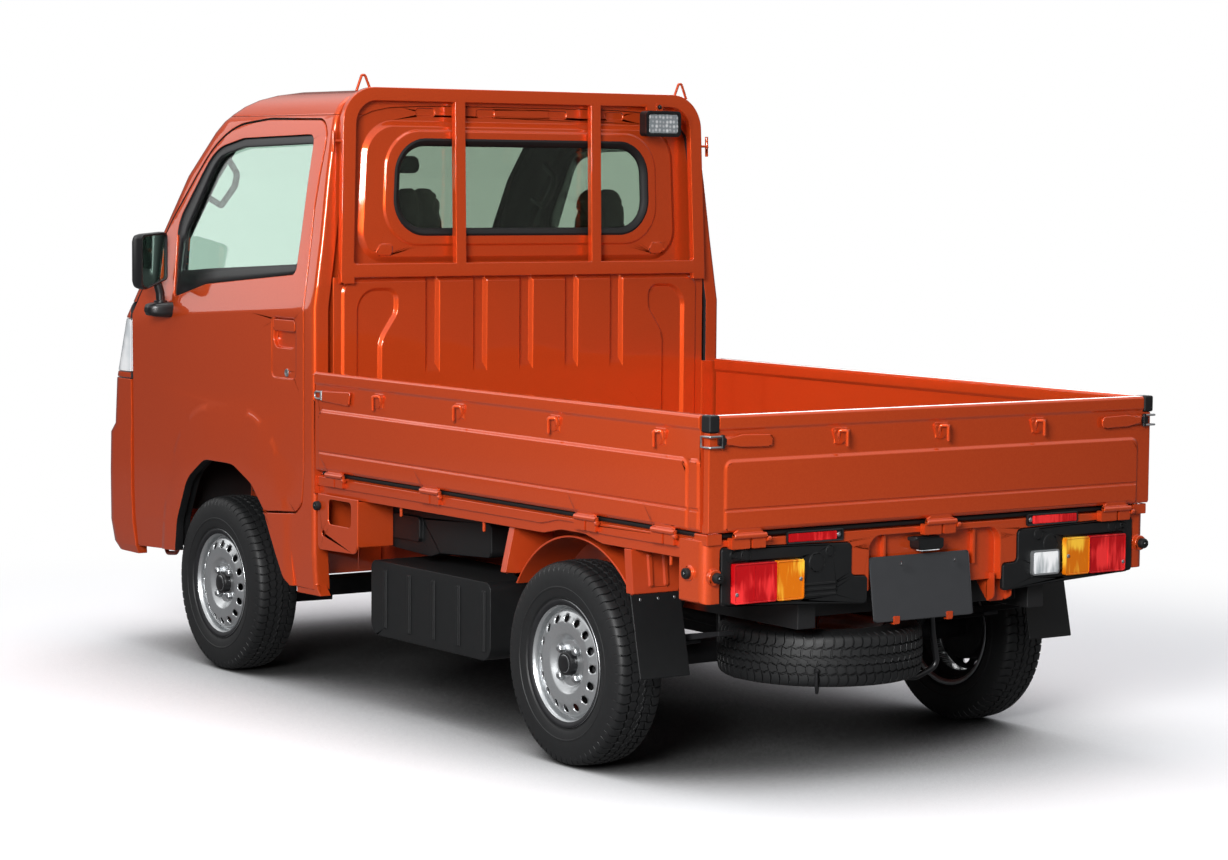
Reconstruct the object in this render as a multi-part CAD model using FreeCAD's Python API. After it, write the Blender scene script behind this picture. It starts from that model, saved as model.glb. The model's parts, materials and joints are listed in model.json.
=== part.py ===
"""Kei truck: a small cab-over pickup with three drop sides, a guard frame and hinged doors.

+X is the truck's left, +Y points to the tail and +Z up, in millimetres. Stations along the truck
are measured from the front axle, and heights from the ground. save() moves every sub-part to the
middle of the footprint as it writes it.
"""
import FreeCAD, Part
import math
import os
from FreeCAD import Vector

# ---- driving dimensions -------------------------------------------------------------------
LENGTH = 3395.0
HALF_WIDTH = 737.5
CAB_SIDE = 731.0
WHEELBASE = 1900.0
FRONT_OVERHANG = 825.0
TAIL = LENGTH - FRONT_OVERHANG
ORIGIN_Y = LENGTH / 2 - FRONT_OVERHANG

WHEEL_X = 652.0
TYRE_RADIUS = 268.5
HUB_FACE_X = 690.0
KINGPIN_X = 548.0

WALL = 50.0
SHUT_GAP = 5.5
DOOR_SKIN = 20.0
DOOR_REBATE = 14.0
GLASS = 5.0
GLASS_DEPTH = 8.0
DOOR_GLASS_DEPTH = 18.0

BED_FRONT = 604.0
HEADBOARD_BACK = 620.0
HEADBOARD_TOP = 1226.0
GATE_FRONT = 626.0
SIDE_GATE_END = 2510.0
SIDE_PANEL_END = 2462.0
TAILGATE_FACE = 2551.0
TAILGATE_HALF = 733.0
GATE_DEPTH = 32.0
RAIL_TOP_OF_GATE = 956.0
FLOOR_TOP = 660.0
SHEET = 6.0
MEMBER_BOTTOM = 600.0
RAIL_X = 383.0
RAIL_BOTTOM = 356.0
RAIL_TOP = 456.0
KICK_UP = 50.0

os.makedirs("parts", exist_ok=True)


# ---- building blocks ----------------------------------------------------------------------
def save(name, *solids):
    """Write one sub-part, moved from the front axle's station to the footprint's middle."""
    shape = solids[0] if len(solids) == 1 else Part.makeCompound(list(solids))
    shape = shape.copy()
    shape.translate(Vector(0, -ORIGIN_Y, 0))
    shape.exportStep("parts/" + name + ".step")


def mirrored(shape):
    """The same shape on the truck's other side."""
    return shape.mirror(Vector(0, 0, 0), Vector(1, 0, 0))


def fuse(first, *others):
    """One solid out of several that touch."""
    return first.fuse(list(others)).removeSplitter()


def box(x0, x1, y0, y1, z0, z1):
    """Box between two limits on each axis."""
    return Part.makeBox(x1 - x0, y1 - y0, z1 - z0, Vector(x0, y0, z0))


def rod(start, end, radius):
    """Round bar between two points."""
    start = Vector(*start)
    along = Vector(*end) - start
    return Part.makeCylinder(radius, along.Length, start, along)


def corner_arc(before, at, after, radius):
    """Start, middle and end of the arc that rounds one corner."""
    to_before = (before - at).normalize()
    to_after = (after - at).normalize()
    half = to_before.getAngle(to_after) / 2
    reach = radius / math.tan(half)
    bisector = (to_before + to_after).normalize()
    middle = at + bisector * (radius / math.sin(half) - radius)
    return at + to_before * reach, middle, at + to_after * reach


def outline(corners, place):
    """Closed wire round corners (a, b) or (a, b, radius), laid out in space by place(a, b)."""
    points = [place(corner[0], corner[1]) for corner in corners]
    turns = []
    for index, corner in enumerate(corners):
        at = points[index]
        if len(corner) == 3:
            after = points[(index + 1) % len(points)]
            turns.append(corner_arc(points[index - 1], at, after, corner[2]))
        else:
            turns.append((at, None, at))
    edges = []
    for index, (start, middle, end) in enumerate(turns):
        if middle is not None:
            edges.append(Part.Arc(start, middle, end).toShape())
        following = turns[(index + 1) % len(turns)][0]
        if end.distanceToPoint(following) > 1e-6:
            edges.append(Part.LineSegment(end, following).toShape())
    return Part.Wire(edges)


def slab_x(corners, x0, x1):
    """Outline in side view (y, z), as thick as from x0 to x1."""
    wire = outline(corners, lambda a, b: Vector(x0, a, b))
    return Part.Face(wire).extrude(Vector(x1 - x0, 0, 0))


def slab_y(corners, y0, y1):
    """Outline in rear view (x, z), as thick as from y0 to y1."""
    wire = outline(corners, lambda a, b: Vector(a, y0, b))
    return Part.Face(wire).extrude(Vector(0, y1 - y0, 0))


def slab_z(corners, z0, z1):
    """Outline in plan view (x, y), as thick as from z0 to z1."""
    wire = outline(corners, lambda a, b: Vector(a, b, z0))
    return Part.Face(wire).extrude(Vector(0, 0, z1 - z0))


def turned(profile):
    """Solid of revolution about the X axis from corners (x, radius)."""
    wire = outline(profile, lambda a, b: Vector(a, 0, b))
    return Part.Face(wire).revolve(Vector(0, 0, 0), Vector(1, 0, 0), 360)


def bent_bar(points, radius, bend):
    """Round bar that runs through points, with every corner bent to one centre-line radius."""
    corners = [Vector(*point) for point in points]
    edges = []
    reached = corners[0]
    for index in range(1, len(corners) - 1):
        start, middle, end = corner_arc(corners[index - 1], corners[index], corners[index + 1], bend)
        edges.append(Part.LineSegment(reached, start).toShape())
        edges.append(Part.Arc(start, middle, end).toShape())
        reached = end
    edges.append(Part.LineSegment(reached, corners[-1]).toShape())
    ring = Part.Wire([Part.makeCircle(radius, corners[0], corners[1] - corners[0])])
    return Part.Wire(edges).makePipeShell([ring], True, False)


def ramped(corners, plane, base, top, run):
    """Pressing in side view: full outline at base, drawn in by run at top; plane lays it out."""
    foot = outline(corners, lambda a, b: plane(a, b, base))
    crest = outline(grown(corners, -run), lambda a, b: plane(a, b, top))
    return Part.makeLoft([foot, crest], True, True)


def symmetric(half):
    """Closed outline from the corners of its left half, read from bottom to top."""
    other = [(-corner[0],) + tuple(corner[1:]) for corner in reversed(half)]
    return half + other


# ---- the cab's form -----------------------------------------------------------------------
# Plan sections of the cab from sill to roof. height is taken at the front axle and slope is the
# section's rise per millimetre rearwards; half_width is the flat side; the side ends at
# side_start, rounds to the point (nose_half, nose_side) and bows out to nose_centre; back is the
# rear edge; sink is how far an inset also lowers the section.
CAB_SECTIONS = [
    # height, slope, half_width, side_start, nose_half, nose_side, nose_centre, back, sink
    (315.0, 0.0, 724.0, -640.0, 620.0, -740.0, -770.0, 612.0, 0.0),
    (420.0, 0.0, CAB_SIDE, -655.0, 637.0, -755.0, -788.0, 612.0, 0.0),
    (865.0, 0.0, CAB_SIDE, -650.0, 637.0, -750.0, -785.0, 612.0, 0.0),
    (1102.0, 0.061, CAB_SIDE, -575.0, 600.0, -690.0, -742.0, 612.0, 0.0),
    (1340.0, 0.0, 702.0, -372.0, 585.0, -470.0, -528.0, 608.0, 0.0),
    (1515.0, 0.0, 680.0, -248.0, 565.0, -335.0, -388.0, 604.0, 0.0),
    (1650.0, 0.0, 660.0, -103.0, 545.0, -190.0, -240.0, 600.0, 0.3),
    (1705.0, 0.0, 646.0, -12.0, 520.0, -105.0, -150.0, 597.0, 0.8),
    (1748.0, 0.0, 608.0, 85.0, 450.0, 10.0, -30.0, 595.0, 1.0),
    (1772.0, 0.0, 520.0, 190.0, 380.0, 130.0, 100.0, 594.0, 1.0),
    (1780.0, 0.0, 330.0, 330.0, 240.0, 280.0, 260.0, 593.0, 1.0),
]
CROWN_ROW = 6
BACK_RADIUS = 14.0


def plan_section(row, inset):
    """One horizontal section of the cab as a closed wire, moved inwards by inset."""
    height, slope, half_width, side_start, nose_half, nose_side, nose_centre, back, sink = row
    height -= sink * inset
    width = half_width - inset
    nose_x = nose_half - 0.6 * inset
    nose_y = nose_side + 0.9 * inset
    tip = nose_centre + inset
    rear = back if inset == 0 else back + 30.0
    across = width - nose_x
    along = side_start - nose_y
    radius = (across ** 2 + along ** 2) / (2 * across)
    half_turn = math.atan2(along, radius - across) / 2
    shoulder_x = width - radius + radius * math.cos(half_turn)
    shoulder_y = side_start - radius * math.sin(half_turn)
    edge = BACK_RADIUS * (1 - math.sqrt(0.5))

    def at(x, y):
        return Vector(x, y, height + slope * y)

    edges = [Part.Arc(at(-nose_x, nose_y), at(0, tip), at(nose_x, nose_y)).toShape()]
    edges.append(Part.Arc(at(nose_x, nose_y), at(shoulder_x, shoulder_y), at(width, side_start)).toShape())
    edges.append(Part.LineSegment(at(width, side_start), at(width, rear - BACK_RADIUS)).toShape())
    left = [(width, rear - BACK_RADIUS), (width - edge, rear - edge), (width - BACK_RADIUS, rear)]
    edges.append(Part.Arc(*[at(x, y) for x, y in left]).toShape())
    edges.append(Part.LineSegment(at(width - BACK_RADIUS, rear), at(BACK_RADIUS - width, rear)).toShape())
    edges.append(Part.Arc(*[at(-x, y) for x, y in reversed(left)]).toShape())
    edges.append(Part.LineSegment(at(-width, rear - BACK_RADIUS), at(-width, side_start)).toShape())
    edges.append(Part.Arc(at(-width, side_start), at(-shoulder_x, shoulder_y), at(-nose_x, nose_y)).toShape())
    return Part.Wire(edges)


def crowned(rows):
    """The table's rows with one more, on a smooth curve, between each two of the roof's crown."""
    result = rows[:CROWN_ROW]
    for index in range(CROWN_ROW, len(rows) - 1):
        before, low, high = rows[index - 1], rows[index], rows[index + 1]
        after = rows[min(index + 2, len(rows) - 1)]
        middle = [(9 * (b + c) - a - d) / 16 for a, b, c, d in zip(before, low, high, after)]
        result += [low, tuple(middle)]
    return result + [rows[-1]]


# The flare round the front wheel in side view (y, z, corner radius), and how far it stands out.
FLARE_OUTLINE = [
    (500.0, 230.0), (462.0, 560.0, 200.0), (398.0, 735.0, 120.0), (262.0, 826.0, 200.0),
    (-120.0, 826.0, 220.0), (-268.0, 700.0, 200.0), (-352.0, 470.0, 300.0), (-372.0, 230.0),
]
FLARE_RUN = 34.0
FLARE_SINK = 12.0


def flare():
    """Pressed flare round the left front wheel arch."""
    side = lambda a, b, x: Vector(x, a, b)
    base = slab_x(FLARE_OUTLINE, CAB_SIDE - FLARE_SINK, CAB_SIDE)
    ramp = ramped(FLARE_OUTLINE, side, CAB_SIDE, HALF_WIDTH, FLARE_RUN)
    return fuse(base, ramp).common(box(600, 800, -600, 700, CAB_SECTIONS[0][0], 900))


def cab_form(inset):
    """The cab's closed outer form, moved inwards by inset; an inset form is open below."""
    rows = crowned(CAB_SECTIONS)
    if inset > 0:
        rows[0] = (rows[0][0] - 30.0,) + rows[0][1:]
    form = Part.makeLoft([plan_section(row, inset) for row in rows], True, True)
    if inset > 0:
        return form
    wing = flare()
    return form.fuse([wing, mirrored(wing)])


def cab_skin(outer, inner):
    """The cab's wall between two depths under its surface."""
    return cab_form(outer).cut(cab_form(inner))


# Door outline in side view (y, z, corner radius), from the front bottom corner round by the
# wheel arch, the rear edge and the roof rail to the front edge.
DOOR_OUTLINE = [
    (-544.0, 325.0, 10.0),
    (-254.0, 338.0, 6.0),
    (-240.0, 440.0, 90.0),
    (-172.0, 575.0, 120.0),
    (-60.0, 641.0, 90.0),
    (120.0, 641.0, 120.0),
    (238.0, 592.0, 120.0),
    (318.0, 520.0),
    (346.0, 519.0),
    (506.0, 531.0, 40.0),
    (546.0, 560.0, 40.0),
    (556.0, 640.0, 60.0),
    (556.0, 1120.0, 60.0),
    (549.0, 1417.0, 200.0),
    (576.0, 1688.0, 60.0),
    (205.0, 1692.0, 400.0),
    (-75.0, 1668.0, 400.0),
    (-352.0, 1379.0, 300.0),
    (-571.0, 1078.0, 14.0),
    (-560.0, 500.0, 300.0),
]
# The arch below the door's own edge, down to the ground.
ARCH_OUTLINE = [
    (-549.0, 200.0), (-549.0, 326.0), (-254.0, 338.0, 6.0), (-240.0, 440.0, 90.0), (-172.0, 575.0, 120.0),
    (-60.0, 641.0, 90.0), (120.0, 641.0, 120.0), (238.0, 592.0, 120.0), (318.0, 520.0, 60.0),
    (384.0, 414.0, 120.0), (436.0, 338.0, 30.0), (470.0, 318.0), (470.0, 200.0),
]
WINDOW_OUTLINE = [
    (-288.0, 1138.0, 12.0),
    (-80.0, 1186.0, 200.0),
    (479.0, 1232.0, 26.0),
    (494.0, 1642.0, 26.0),
    (60.0, 1632.0, 200.0),
    (-115.0, 1600.0, 180.0),
    (-306.0, 1372.0, 120.0),
]


def grown(corners, amount):
    """Corners of an outline moved square to its sides; a negative amount shrinks it."""
    result = []
    count = len(corners)
    for index in range(count):
        before = Vector(*corners[index - 1][:2], 0)
        at = Vector(*corners[index][:2], 0)
        after = Vector(*corners[(index + 1) % count][:2], 0)
        into = (at - before).normalize()
        out = (after - at).normalize()
        normal_in = Vector(into.y, -into.x, 0)
        normal_out = Vector(out.y, -out.x, 0)
        middle = (normal_in + normal_out).normalize()
        moved = at + middle * (amount / middle.dot(normal_in))
        turn = into.cross(out).z
        radius = corners[index][2] + (amount if turn > 0 else -amount) if len(corners[index]) == 3 else None
        if radius is None or radius < 1.0:
            result.append((moved.x, moved.y))
        else:
            result.append((moved.x, moved.y, radius))
    return result


# ---- cab ----------------------------------------------------------------------------------
def cab_regions():
    """The blocks that part the cab's wall into its panels."""
    side = slab_x(DOOR_OUTLINE, 480.0, 800.0)
    roof = slab_x([(-250, 1698), (-250, 1900), (700, 1900), (700, 1698)], -800, 800)
    roof = roof.fuse(box(-520, 520, -400, 20, 1640, 1705))
    front = slab_x([(-900, 868), (-577, 868), (-578, 1075), (-610, 1112), (-900, 1112)], -800, 800)
    front = front.fuse(box(-590, 590, -905, -480, 1105, 1145))
    screen = slab_y(symmetric([(612, 1135, 40), (545, 1668, 60)]), -900, 0)
    return side, roof, front, screen


def make_cab():
    """Cab sides, beaded roof, front panel, windscreen and headlamps, parted from one wall."""
    wall = cab_skin(0, WALL)
    side, roof, front, screen = cab_regions()
    opening = side.fuse(mirrored(side))
    lamp_band = slab_y([(430, 885), (800, 885), (800, 1062), (455, 1050)], -900, -576)
    lamps = lamp_band.fuse(mirrored(lamp_band))
    arch = slab_x(ARCH_OUTLINE, -800, 800)
    hinge_gap = box(-810, 810, -910, -542, 190, 1112)
    frame = wall.cut(hinge_gap).cut(arch).cut(roof).cut(front).cut(screen).cut(opening)
    pillar = frame.common(box(0, 800, -900, 700, 200, 1900))
    lip = slab_x([(497, 316), (497, 298), (640, 300), (611, 330)], 688, 722)
    pillar = fuse(max(pillar.Solids, key=lambda solid: solid.Volume), lip)
    save("cab_side_left", pillar)
    save("cab_side_right", mirrored(pillar))
    beads = [slab_z([(x - 14, 300, 13), (x + 14, 300, 13), (x + 14, 560, 13), (x - 14, 560, 13)], 1600, 1800)
             for x in (-330, -165, 0, 165, 330)]
    grooves = cab_skin(0, 3).common(beads[0].fuse(beads[1:]))
    save("cab_roof", wall.common(roof).cut([opening, screen]).cut(grooves))
    save("front_panel", wall.common(front).cut(lamps).cut(opening).cut(screen))
    pane = slab_y(symmetric([(611, 1136, 40), (544, 1667, 60)]), -900, 0)
    save("windscreen", cab_skin(GLASS_DEPTH, GLASS_DEPTH + GLASS).common(pane))
    lamp = cab_skin(0, 36).common(slab_y([(433, 888), (800, 888), (800, 1059), (458, 1047)], -900, -579))
    save("headlamps", lamp, mirrored(lamp))


def make_bumper():
    """Bumper wrapping the nose from door to door, with its lower grille and fog lamp pockets."""
    rows = [
        (303.0, 0.0, 718.0, -660.0, 620.0, -760.0, -790.0, 612.0, 0.0),
        (330.0, 0.0, 728.0, -680.0, 632.0, -780.0, -812.0, 612.0, 0.0),
        (400.0, 0.0, 735.0, -692.0, 637.0, -792.0, -823.0, 612.0, 0.0),
        (560.0, 0.0, 735.0, -695.0, 637.0, -795.0, -825.0, 612.0, 0.0),
        (685.0, 0.0, 734.0, -692.0, 637.0, -792.0, -824.0, 612.0, 0.0),
        (715.0, 0.0, CAB_SIDE, -665.0, 637.0, -765.0, -797.0, 612.0, 0.0),
        (864.0, 0.0, CAB_SIDE, -652.0, 637.0, -752.0, -788.0, 612.0, 0.0),
    ]
    form = Part.makeLoft([plan_section(row, 0) for row in rows], True, True)
    reach = slab_x([(-900, 200), (-550, 200), (-551, 325), (-567, 500), (-576, 865), (-900, 865)], -800, 800)
    shell = form.cut(cab_form(WALL - 12)).common(reach)
    mouth = slab_y(symmetric([(330, 350, 20), (360, 500, 20)]), -900, -700)
    pocket = slab_y([(455, 400, 18), (590, 400, 18), (600, 500, 18), (455, 510, 18)], -900, -778)
    save("front_bumper", shell.cut(mouth).cut(pocket).cut(mirrored(pocket)))
    slats = [box(-352, 352, -790, -770, z, z + 12) for z in (372, 396, 420, 444, 468)]
    uprights = [box(x - 5, x + 5, -786, -772, 351, 499) for x in (-240, -120, 0, 120, 240)]
    inside = slab_y(symmetric([(329, 351, 20), (359, 499, 20)]), -800, -760)
    save("front_grille", fuse(slats[0], *slats[1:], *uprights).common(inside))


# The mirror in plan: its glass face runs from MIRROR_INNER to MIRROR_OUTER, turned to the driver.
MIRROR_INNER = (736.0, -319.0)
MIRROR_OUTER = (851.0, -281.0)
MIRROR_PIVOT = (752.0, -322.0)


def make_mirror():
    """Left door mirror: foot, pivot and a rounded head with its glass set in."""
    plan = [MIRROR_INNER + (10,), (773, -372, 30), (838, -350, 30), MIRROR_OUTER + (10,)]
    face = [(736, 1186, 24), (851, 1150, 28), (851, 1336, 26), (736, 1344, 24)]
    head = slab_z(plan, 1140, 1350).common(slab_y(face, -400, -250))
    seat = slab_z([(748, -325), (844, -294), (836, -270), (740, -301)], 1140, 1350)
    inset = slab_y([(746, 1196, 16), (842, 1162, 20), (842, 1327, 18), (746, 1334, 16)], -400, -250)
    head = head.cut(seat.common(inset))
    pivot = Part.makeCylinder(15, 115, Vector(*MIRROR_PIVOT, 1090))
    foot = slab_z([(710, -356), (800, -350, 18), (800, -296, 18), (710, -286)], 1076, 1120).cut(cab_form(0))
    return fuse(head, pivot, foot)


def make_door():
    """Left door with its rebated inner panel, then its glass and mirror, and their mirror images."""
    window = slab_x(WINDOW_OUTLINE, 480, 800)
    skin = cab_skin(0, DOOR_SKIN).common(slab_x(grown(DOOR_OUTLINE, -SHUT_GAP), 480, 800))
    liner = cab_skin(DOOR_SKIN, WALL).common(slab_x(grown(DOOR_OUTLINE, -SHUT_GAP - DOOR_REBATE), 480, 800))
    plate = slab_x([(358, 925, 22), (507, 925, 22), (507, 1106, 22), (358, 1106, 22)], CAB_SIDE - 2.5, 760)
    scoop = slab_x([(368, 1014, 30), (503, 1014, 30), (503, 1102, 10), (368, 1102, 10)], CAB_SIDE - 16, 760)
    lever = slab_x([(372, 1064, 8), (499, 1064, 8), (499, 1098, 8), (372, 1098, 8)], CAB_SIDE - 17, CAB_SIDE)
    key = rod((CAB_SIDE - 4, 452, 942), (CAB_SIDE - 0.5, 452, 942), 11)
    door = fuse(skin, liner).cut([window, plate, scoop])
    door = fuse(door, lever, key)
    pane = slab_x(grown(WINDOW_OUTLINE, -0.5), 480, 800)
    glass = cab_skin(DOOR_GLASS_DEPTH, DOOR_GLASS_DEPTH + GLASS).common(pane)
    mirror = make_mirror()
    for tag, place in (("left", lambda s: s), ("right", mirrored)):
        save("door_" + tag, place(door))
        save("door_glass_" + tag, place(glass))
        save("door_mirror_" + tag, place(mirror))


BACK_FACE = 588.0
REAR_GLASS = [(456, 1354, 100), (444, 1626, 100)]


def make_cab_back():
    """Back wall between the side panels, with its pressed window surround, and the rear glass."""
    wall = slab_y(symmetric([(684, 660), (684, 1800)]), 566, BACK_FACE)
    along = lambda a, b, y: Vector(a, y, b)
    bulge = ramped(symmetric([(577, 1269, 90), (556, 1684, 110)]), along, BACK_FACE, 600, 16)
    ring = ramped(symmetric([(498, 1316, 120), (484, 1660, 120)]), along, 599.5, 606, 6)
    feet = [slab_y([(x - 30, 1290, 10), (x + 30, 1290, 10), (x + 12, 1322, 10), (x - 30, 1322, 10)], 599, 602)
            for x in (-490, 490)]
    hole = slab_y(symmetric(REAR_GLASS), 500, 640)
    pockets = [slab_y([(x - 32, 1700, 8), (x + 32, 1700, 8), (x + 32, 1722, 8), (x - 32, 1722, 8)], BACK_FACE - 4, 600)
               for x in (-340, -130, 130, 340)]
    back = fuse(wall, bulge, ring, *feet).cut(hole).cut(pockets).cut(cab_skin(0, WALL))
    save("cab_back_panel", max(back.Solids, key=lambda solid: solid.Volume))
    glass = slab_y(symmetric([(455.5, 1354.5, 100), (443.5, 1625.5, 100)]), BACK_FACE, BACK_FACE + GLASS)
    save("rear_window", glass)


def make_cab_floor():
    """Firewall, foot well, seat platform and wheelhouses."""
    profile = [
        (-700, 1040), (-700, 462), (-337, 462), (-337, 672), (564, 672),
        (564, 680), (-345, 680), (-345, 470), (-692, 470), (-692, 1040),
    ]
    tub = slab_x(profile, -678, 678)
    inner_wall = box(417, 425, -337, 470, 340, 672)
    rear_wall = box(425, 678, 462, 470, 340, 672)
    parts = [inner_wall, rear_wall, mirrored(inner_wall), mirrored(rear_wall)]
    save("cab_floor", fuse(tub, *parts).common(cab_form(WALL + 1)))


STEERING_CENTRE = Vector(-330, -215, 1048)
STEERING_AXIS = Vector(0, 0.51, 0.86)


def make_interior():
    """Dashboard with steering column, seats and steering wheel."""
    dash = slab_x([(-690, 1085, 20), (-690, 820), (-470, 790, 40), (-380, 960, 60), (-420, 1075, 40)], -640, 640)
    column = rod((-330, -480, 601), (-330, -232, 1020), 32)
    shelf = slab_y([(90, 860, 15), (560, 860, 15), (560, 940, 15), (90, 940, 15)], -480, -360)
    hanger = slab_x([(-450, 840), (-320, 860), (-320, 900), (-450, 930)], -365, -295)
    save("dashboard", fuse(dash.cut(shelf), column, hanger).common(cab_form(WALL + 2)))
    cushion = slab_x([(10, 682, 20), (500, 682, 20), (500, 780, 20), (30, 812, 40)], 95, 575)
    back = slab_x([(395, 770, 10), (490, 760, 10), (560, 1270, 40), (545, 1300, 20), (455, 1290, 50)], 105, 565)
    head = slab_x([(470, 1288, 20), (552, 1288, 20), (560, 1500, 35), (490, 1515, 35)], 205, 465)
    seat = fuse(cushion, back, head)
    save("seat_left", seat)
    save("seat_right", mirrored(seat))
    centre = STEERING_CENTRE
    rim = Part.makeTorus(178, 14, centre, STEERING_AXIS)
    hub = Part.makeCylinder(45, 26, centre - STEERING_AXIS * 26, STEERING_AXIS)
    spoke = rod((centre.x - 170, centre.y, centre.z), (centre.x + 170, centre.y, centre.z), 10)
    low = rod(centre, centre + Vector(0, 146, -87), 10)
    save("steering_wheel", fuse(rim, hub, spoke, low))


# ---- running gear -------------------------------------------------------------------------
TYRE_PROFILE = [
    (-60, 152.5), (-66, 168, 5), (-72.5, 212, 40), (-66, 256, 16), (-52, 266, 20),
    (0, 268.5, 400), (52, 266, 20), (66, 256, 16), (72.5, 212, 40), (66, 168, 5), (60, 152.5),
]
RIM_PROFILE = [
    (-66, 167), (-60, 152), (-40, 148, 8), (-30, 132, 8), (10, 132, 8), (22, 148, 8), (60, 152), (66, 167),
    (62.5, 167), (57, 149), (25, 144, 6), (12, 128, 6), (-28, 128, 6), (-38, 144, 6), (-57, 149), (-62.5, 167),
]
DISC_PROFILE = [
    (38, 30), (38, 62, 8), (52, 80, 14), (56, 108, 20), (44, 132, 12), (18, 140), (18, 147.5), (26, 146),
    (48, 138, 12), (60, 108, 20), (56, 78, 14), (42, 60, 8), (42, 30),
]
VENT_COUNT = 16
VENT_RADIUS = 11.0
VENT_CIRCLE = 118.0
BOLT_CIRCLE = 100.0
BOLT_COUNT = 4


def make_tyre():
    """Plain tyre round the X axis."""
    return turned(TYRE_PROFILE)


def make_rim():
    """Steel wheel: drop-centre rim, dished disc with round vents, nuts and hub cap."""
    rim = turned(RIM_PROFILE)
    disc = turned(DISC_PROFILE)
    vents = []
    for index in range(VENT_COUNT):
        angle = 2 * math.pi * index / VENT_COUNT
        y = VENT_CIRCLE * math.cos(angle)
        z = VENT_CIRCLE * math.sin(angle)
        vents.append(rod((0, y, z), (80, y, z), VENT_RADIUS))
    nuts = []
    for index in range(BOLT_COUNT):
        angle = math.pi / 4 + math.pi * index / 2
        y = BOLT_CIRCLE / 2 * math.cos(angle)
        z = BOLT_CIRCLE / 2 * math.sin(angle)
        nuts.append(rod((40, y, z), (56, y, z), 10))
    cap = turned([(38, 0), (38, 31), (60, 29, 3), (64, 20, 4), (64, 0)])
    return fuse(fuse(rim, disc).cut(vents), cap, *nuts)


def make_wheels():
    """Four road wheels and the spare."""
    tyre = make_tyre()
    rim = make_rim()
    stations = {"front": 0.0, "rear": WHEELBASE}
    for end, station in stations.items():
        for side, place in (("left", lambda s: s), ("right", mirrored)):
            for kind, shape in (("tyre", tyre), ("rim", rim)):
                piece = shape.copy()
                piece.translate(Vector(WHEEL_X, station, TYRE_RADIUS))
                save(kind + "_" + end + "_" + side, place(piece))
    for kind, shape in (("spare_tyre", tyre), ("spare_rim", rim)):
        piece = shape.copy()
        piece.rotate(Vector(0, 0, 0), Vector(0, 1, 0), 90)
        piece.translate(Vector(150, 2250, 314.5))
        save(kind, piece)


def make_knuckle():
    """Left knuckle: strut tube on the kingpin axis, arm, brake disc and hub."""
    strut = rod((KINGPIN_X, 0, 226), (KINGPIN_X, 0, 520), 22)
    arm = box(KINGPIN_X, 640, -28, 28, 232, 305)
    disc = rod((636, 0, TYRE_RADIUS), (650, 0, TYRE_RADIUS), 108)
    hub = rod((640, 0, TYRE_RADIUS), (HUB_FACE_X - 0.5, 0, TYRE_RADIUS), 56)
    knuckle = fuse(strut, arm, disc, hub)
    save("knuckle_left", knuckle)
    save("knuckle_right", mirrored(knuckle))


def make_front_suspension():
    """Cross member, lower arms and the fixed upper struts with their springs."""
    beam = box(-350, 350, -45, 45, 210, 262)
    arm = slab_z([(340, -40), (570, -24), (570, 24), (340, 40)], 196, 220)
    top = rod((KINGPIN_X, 0, 545), (KINGPIN_X, 0, 671), 46)
    save("front_suspension", fuse(beam, arm, mirrored(arm)), top, mirrored(top))


def make_rear_axle():
    """Axle tube with differential, brake drums and dampers, and the leaf springs that carry it."""
    z = TYRE_RADIUS
    tube = rod((-640, WHEELBASE, z), (640, WHEELBASE, z), 34)
    case = turned([(-160, 0), (-160, 50, 10), (-120, 100, 30), (-40, 100, 30), (0, 50, 10), (0, 0)])
    case.translate(Vector(0, WHEELBASE, z))
    drum_face = HUB_FACE_X - 0.5
    drum = turned([(632, 0), (632, 60), (638, 96, 10), (drum_face - 7.5, 100, 6), (drum_face, 92), (drum_face, 0)])
    drum.translate(Vector(0, WHEELBASE, z))
    damper = fuse(rod((446, 1925, 262), (446, 2010, 400), 14), rod((446, 1965, 327), (446, 2060, 480), 19))
    save("rear_axle", fuse(tube, case, drum, mirrored(drum), damper, mirrored(damper)))
    leaf = [(1500, 378), (1860, 303), (1940, 303), (2320, 378), (2320, 390), (1940, 325), (1860, 325), (1500, 390)]
    short = [(1640, 340), (1860, 292), (1940, 292), (2180, 340), (2180, 349), (1940, 304), (1860, 304), (1640, 349)]
    spring = fuse(slab_x(leaf, 480, 530), slab_x(short, 480, 530)).cut(tube)
    save("leaf_springs", spring, mirrored(spring))


def make_chassis():
    """Two rails with cross members."""
    rise = KICK_UP
    side = [
        (-640, RAIL_BOTTOM), (1500, RAIL_BOTTOM, 200), (1680, RAIL_BOTTOM + rise, 200), (2490, RAIL_BOTTOM + rise),
        (2490, RAIL_TOP + rise), (1680, RAIL_TOP + rise, 200), (1500, RAIL_TOP, 200), (-640, RAIL_TOP),
    ]
    rails = []
    for x in (-RAIL_X, RAIL_X):
        rails.append(slab_x(side, x - 28, x + 28).cut(slab_x(grown(side, -3), x - 25, x + 25)))
    members = []
    for y, lift in ((-600, 0), (900, 0), (1400, 0), (2380, rise)):
        members.append(box(-RAIL_X + 27, RAIL_X - 27, y, y + 60, 376 + lift, 436 + lift))
    save("chassis_frame", fuse(rails[0], rails[1], *members))


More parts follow.
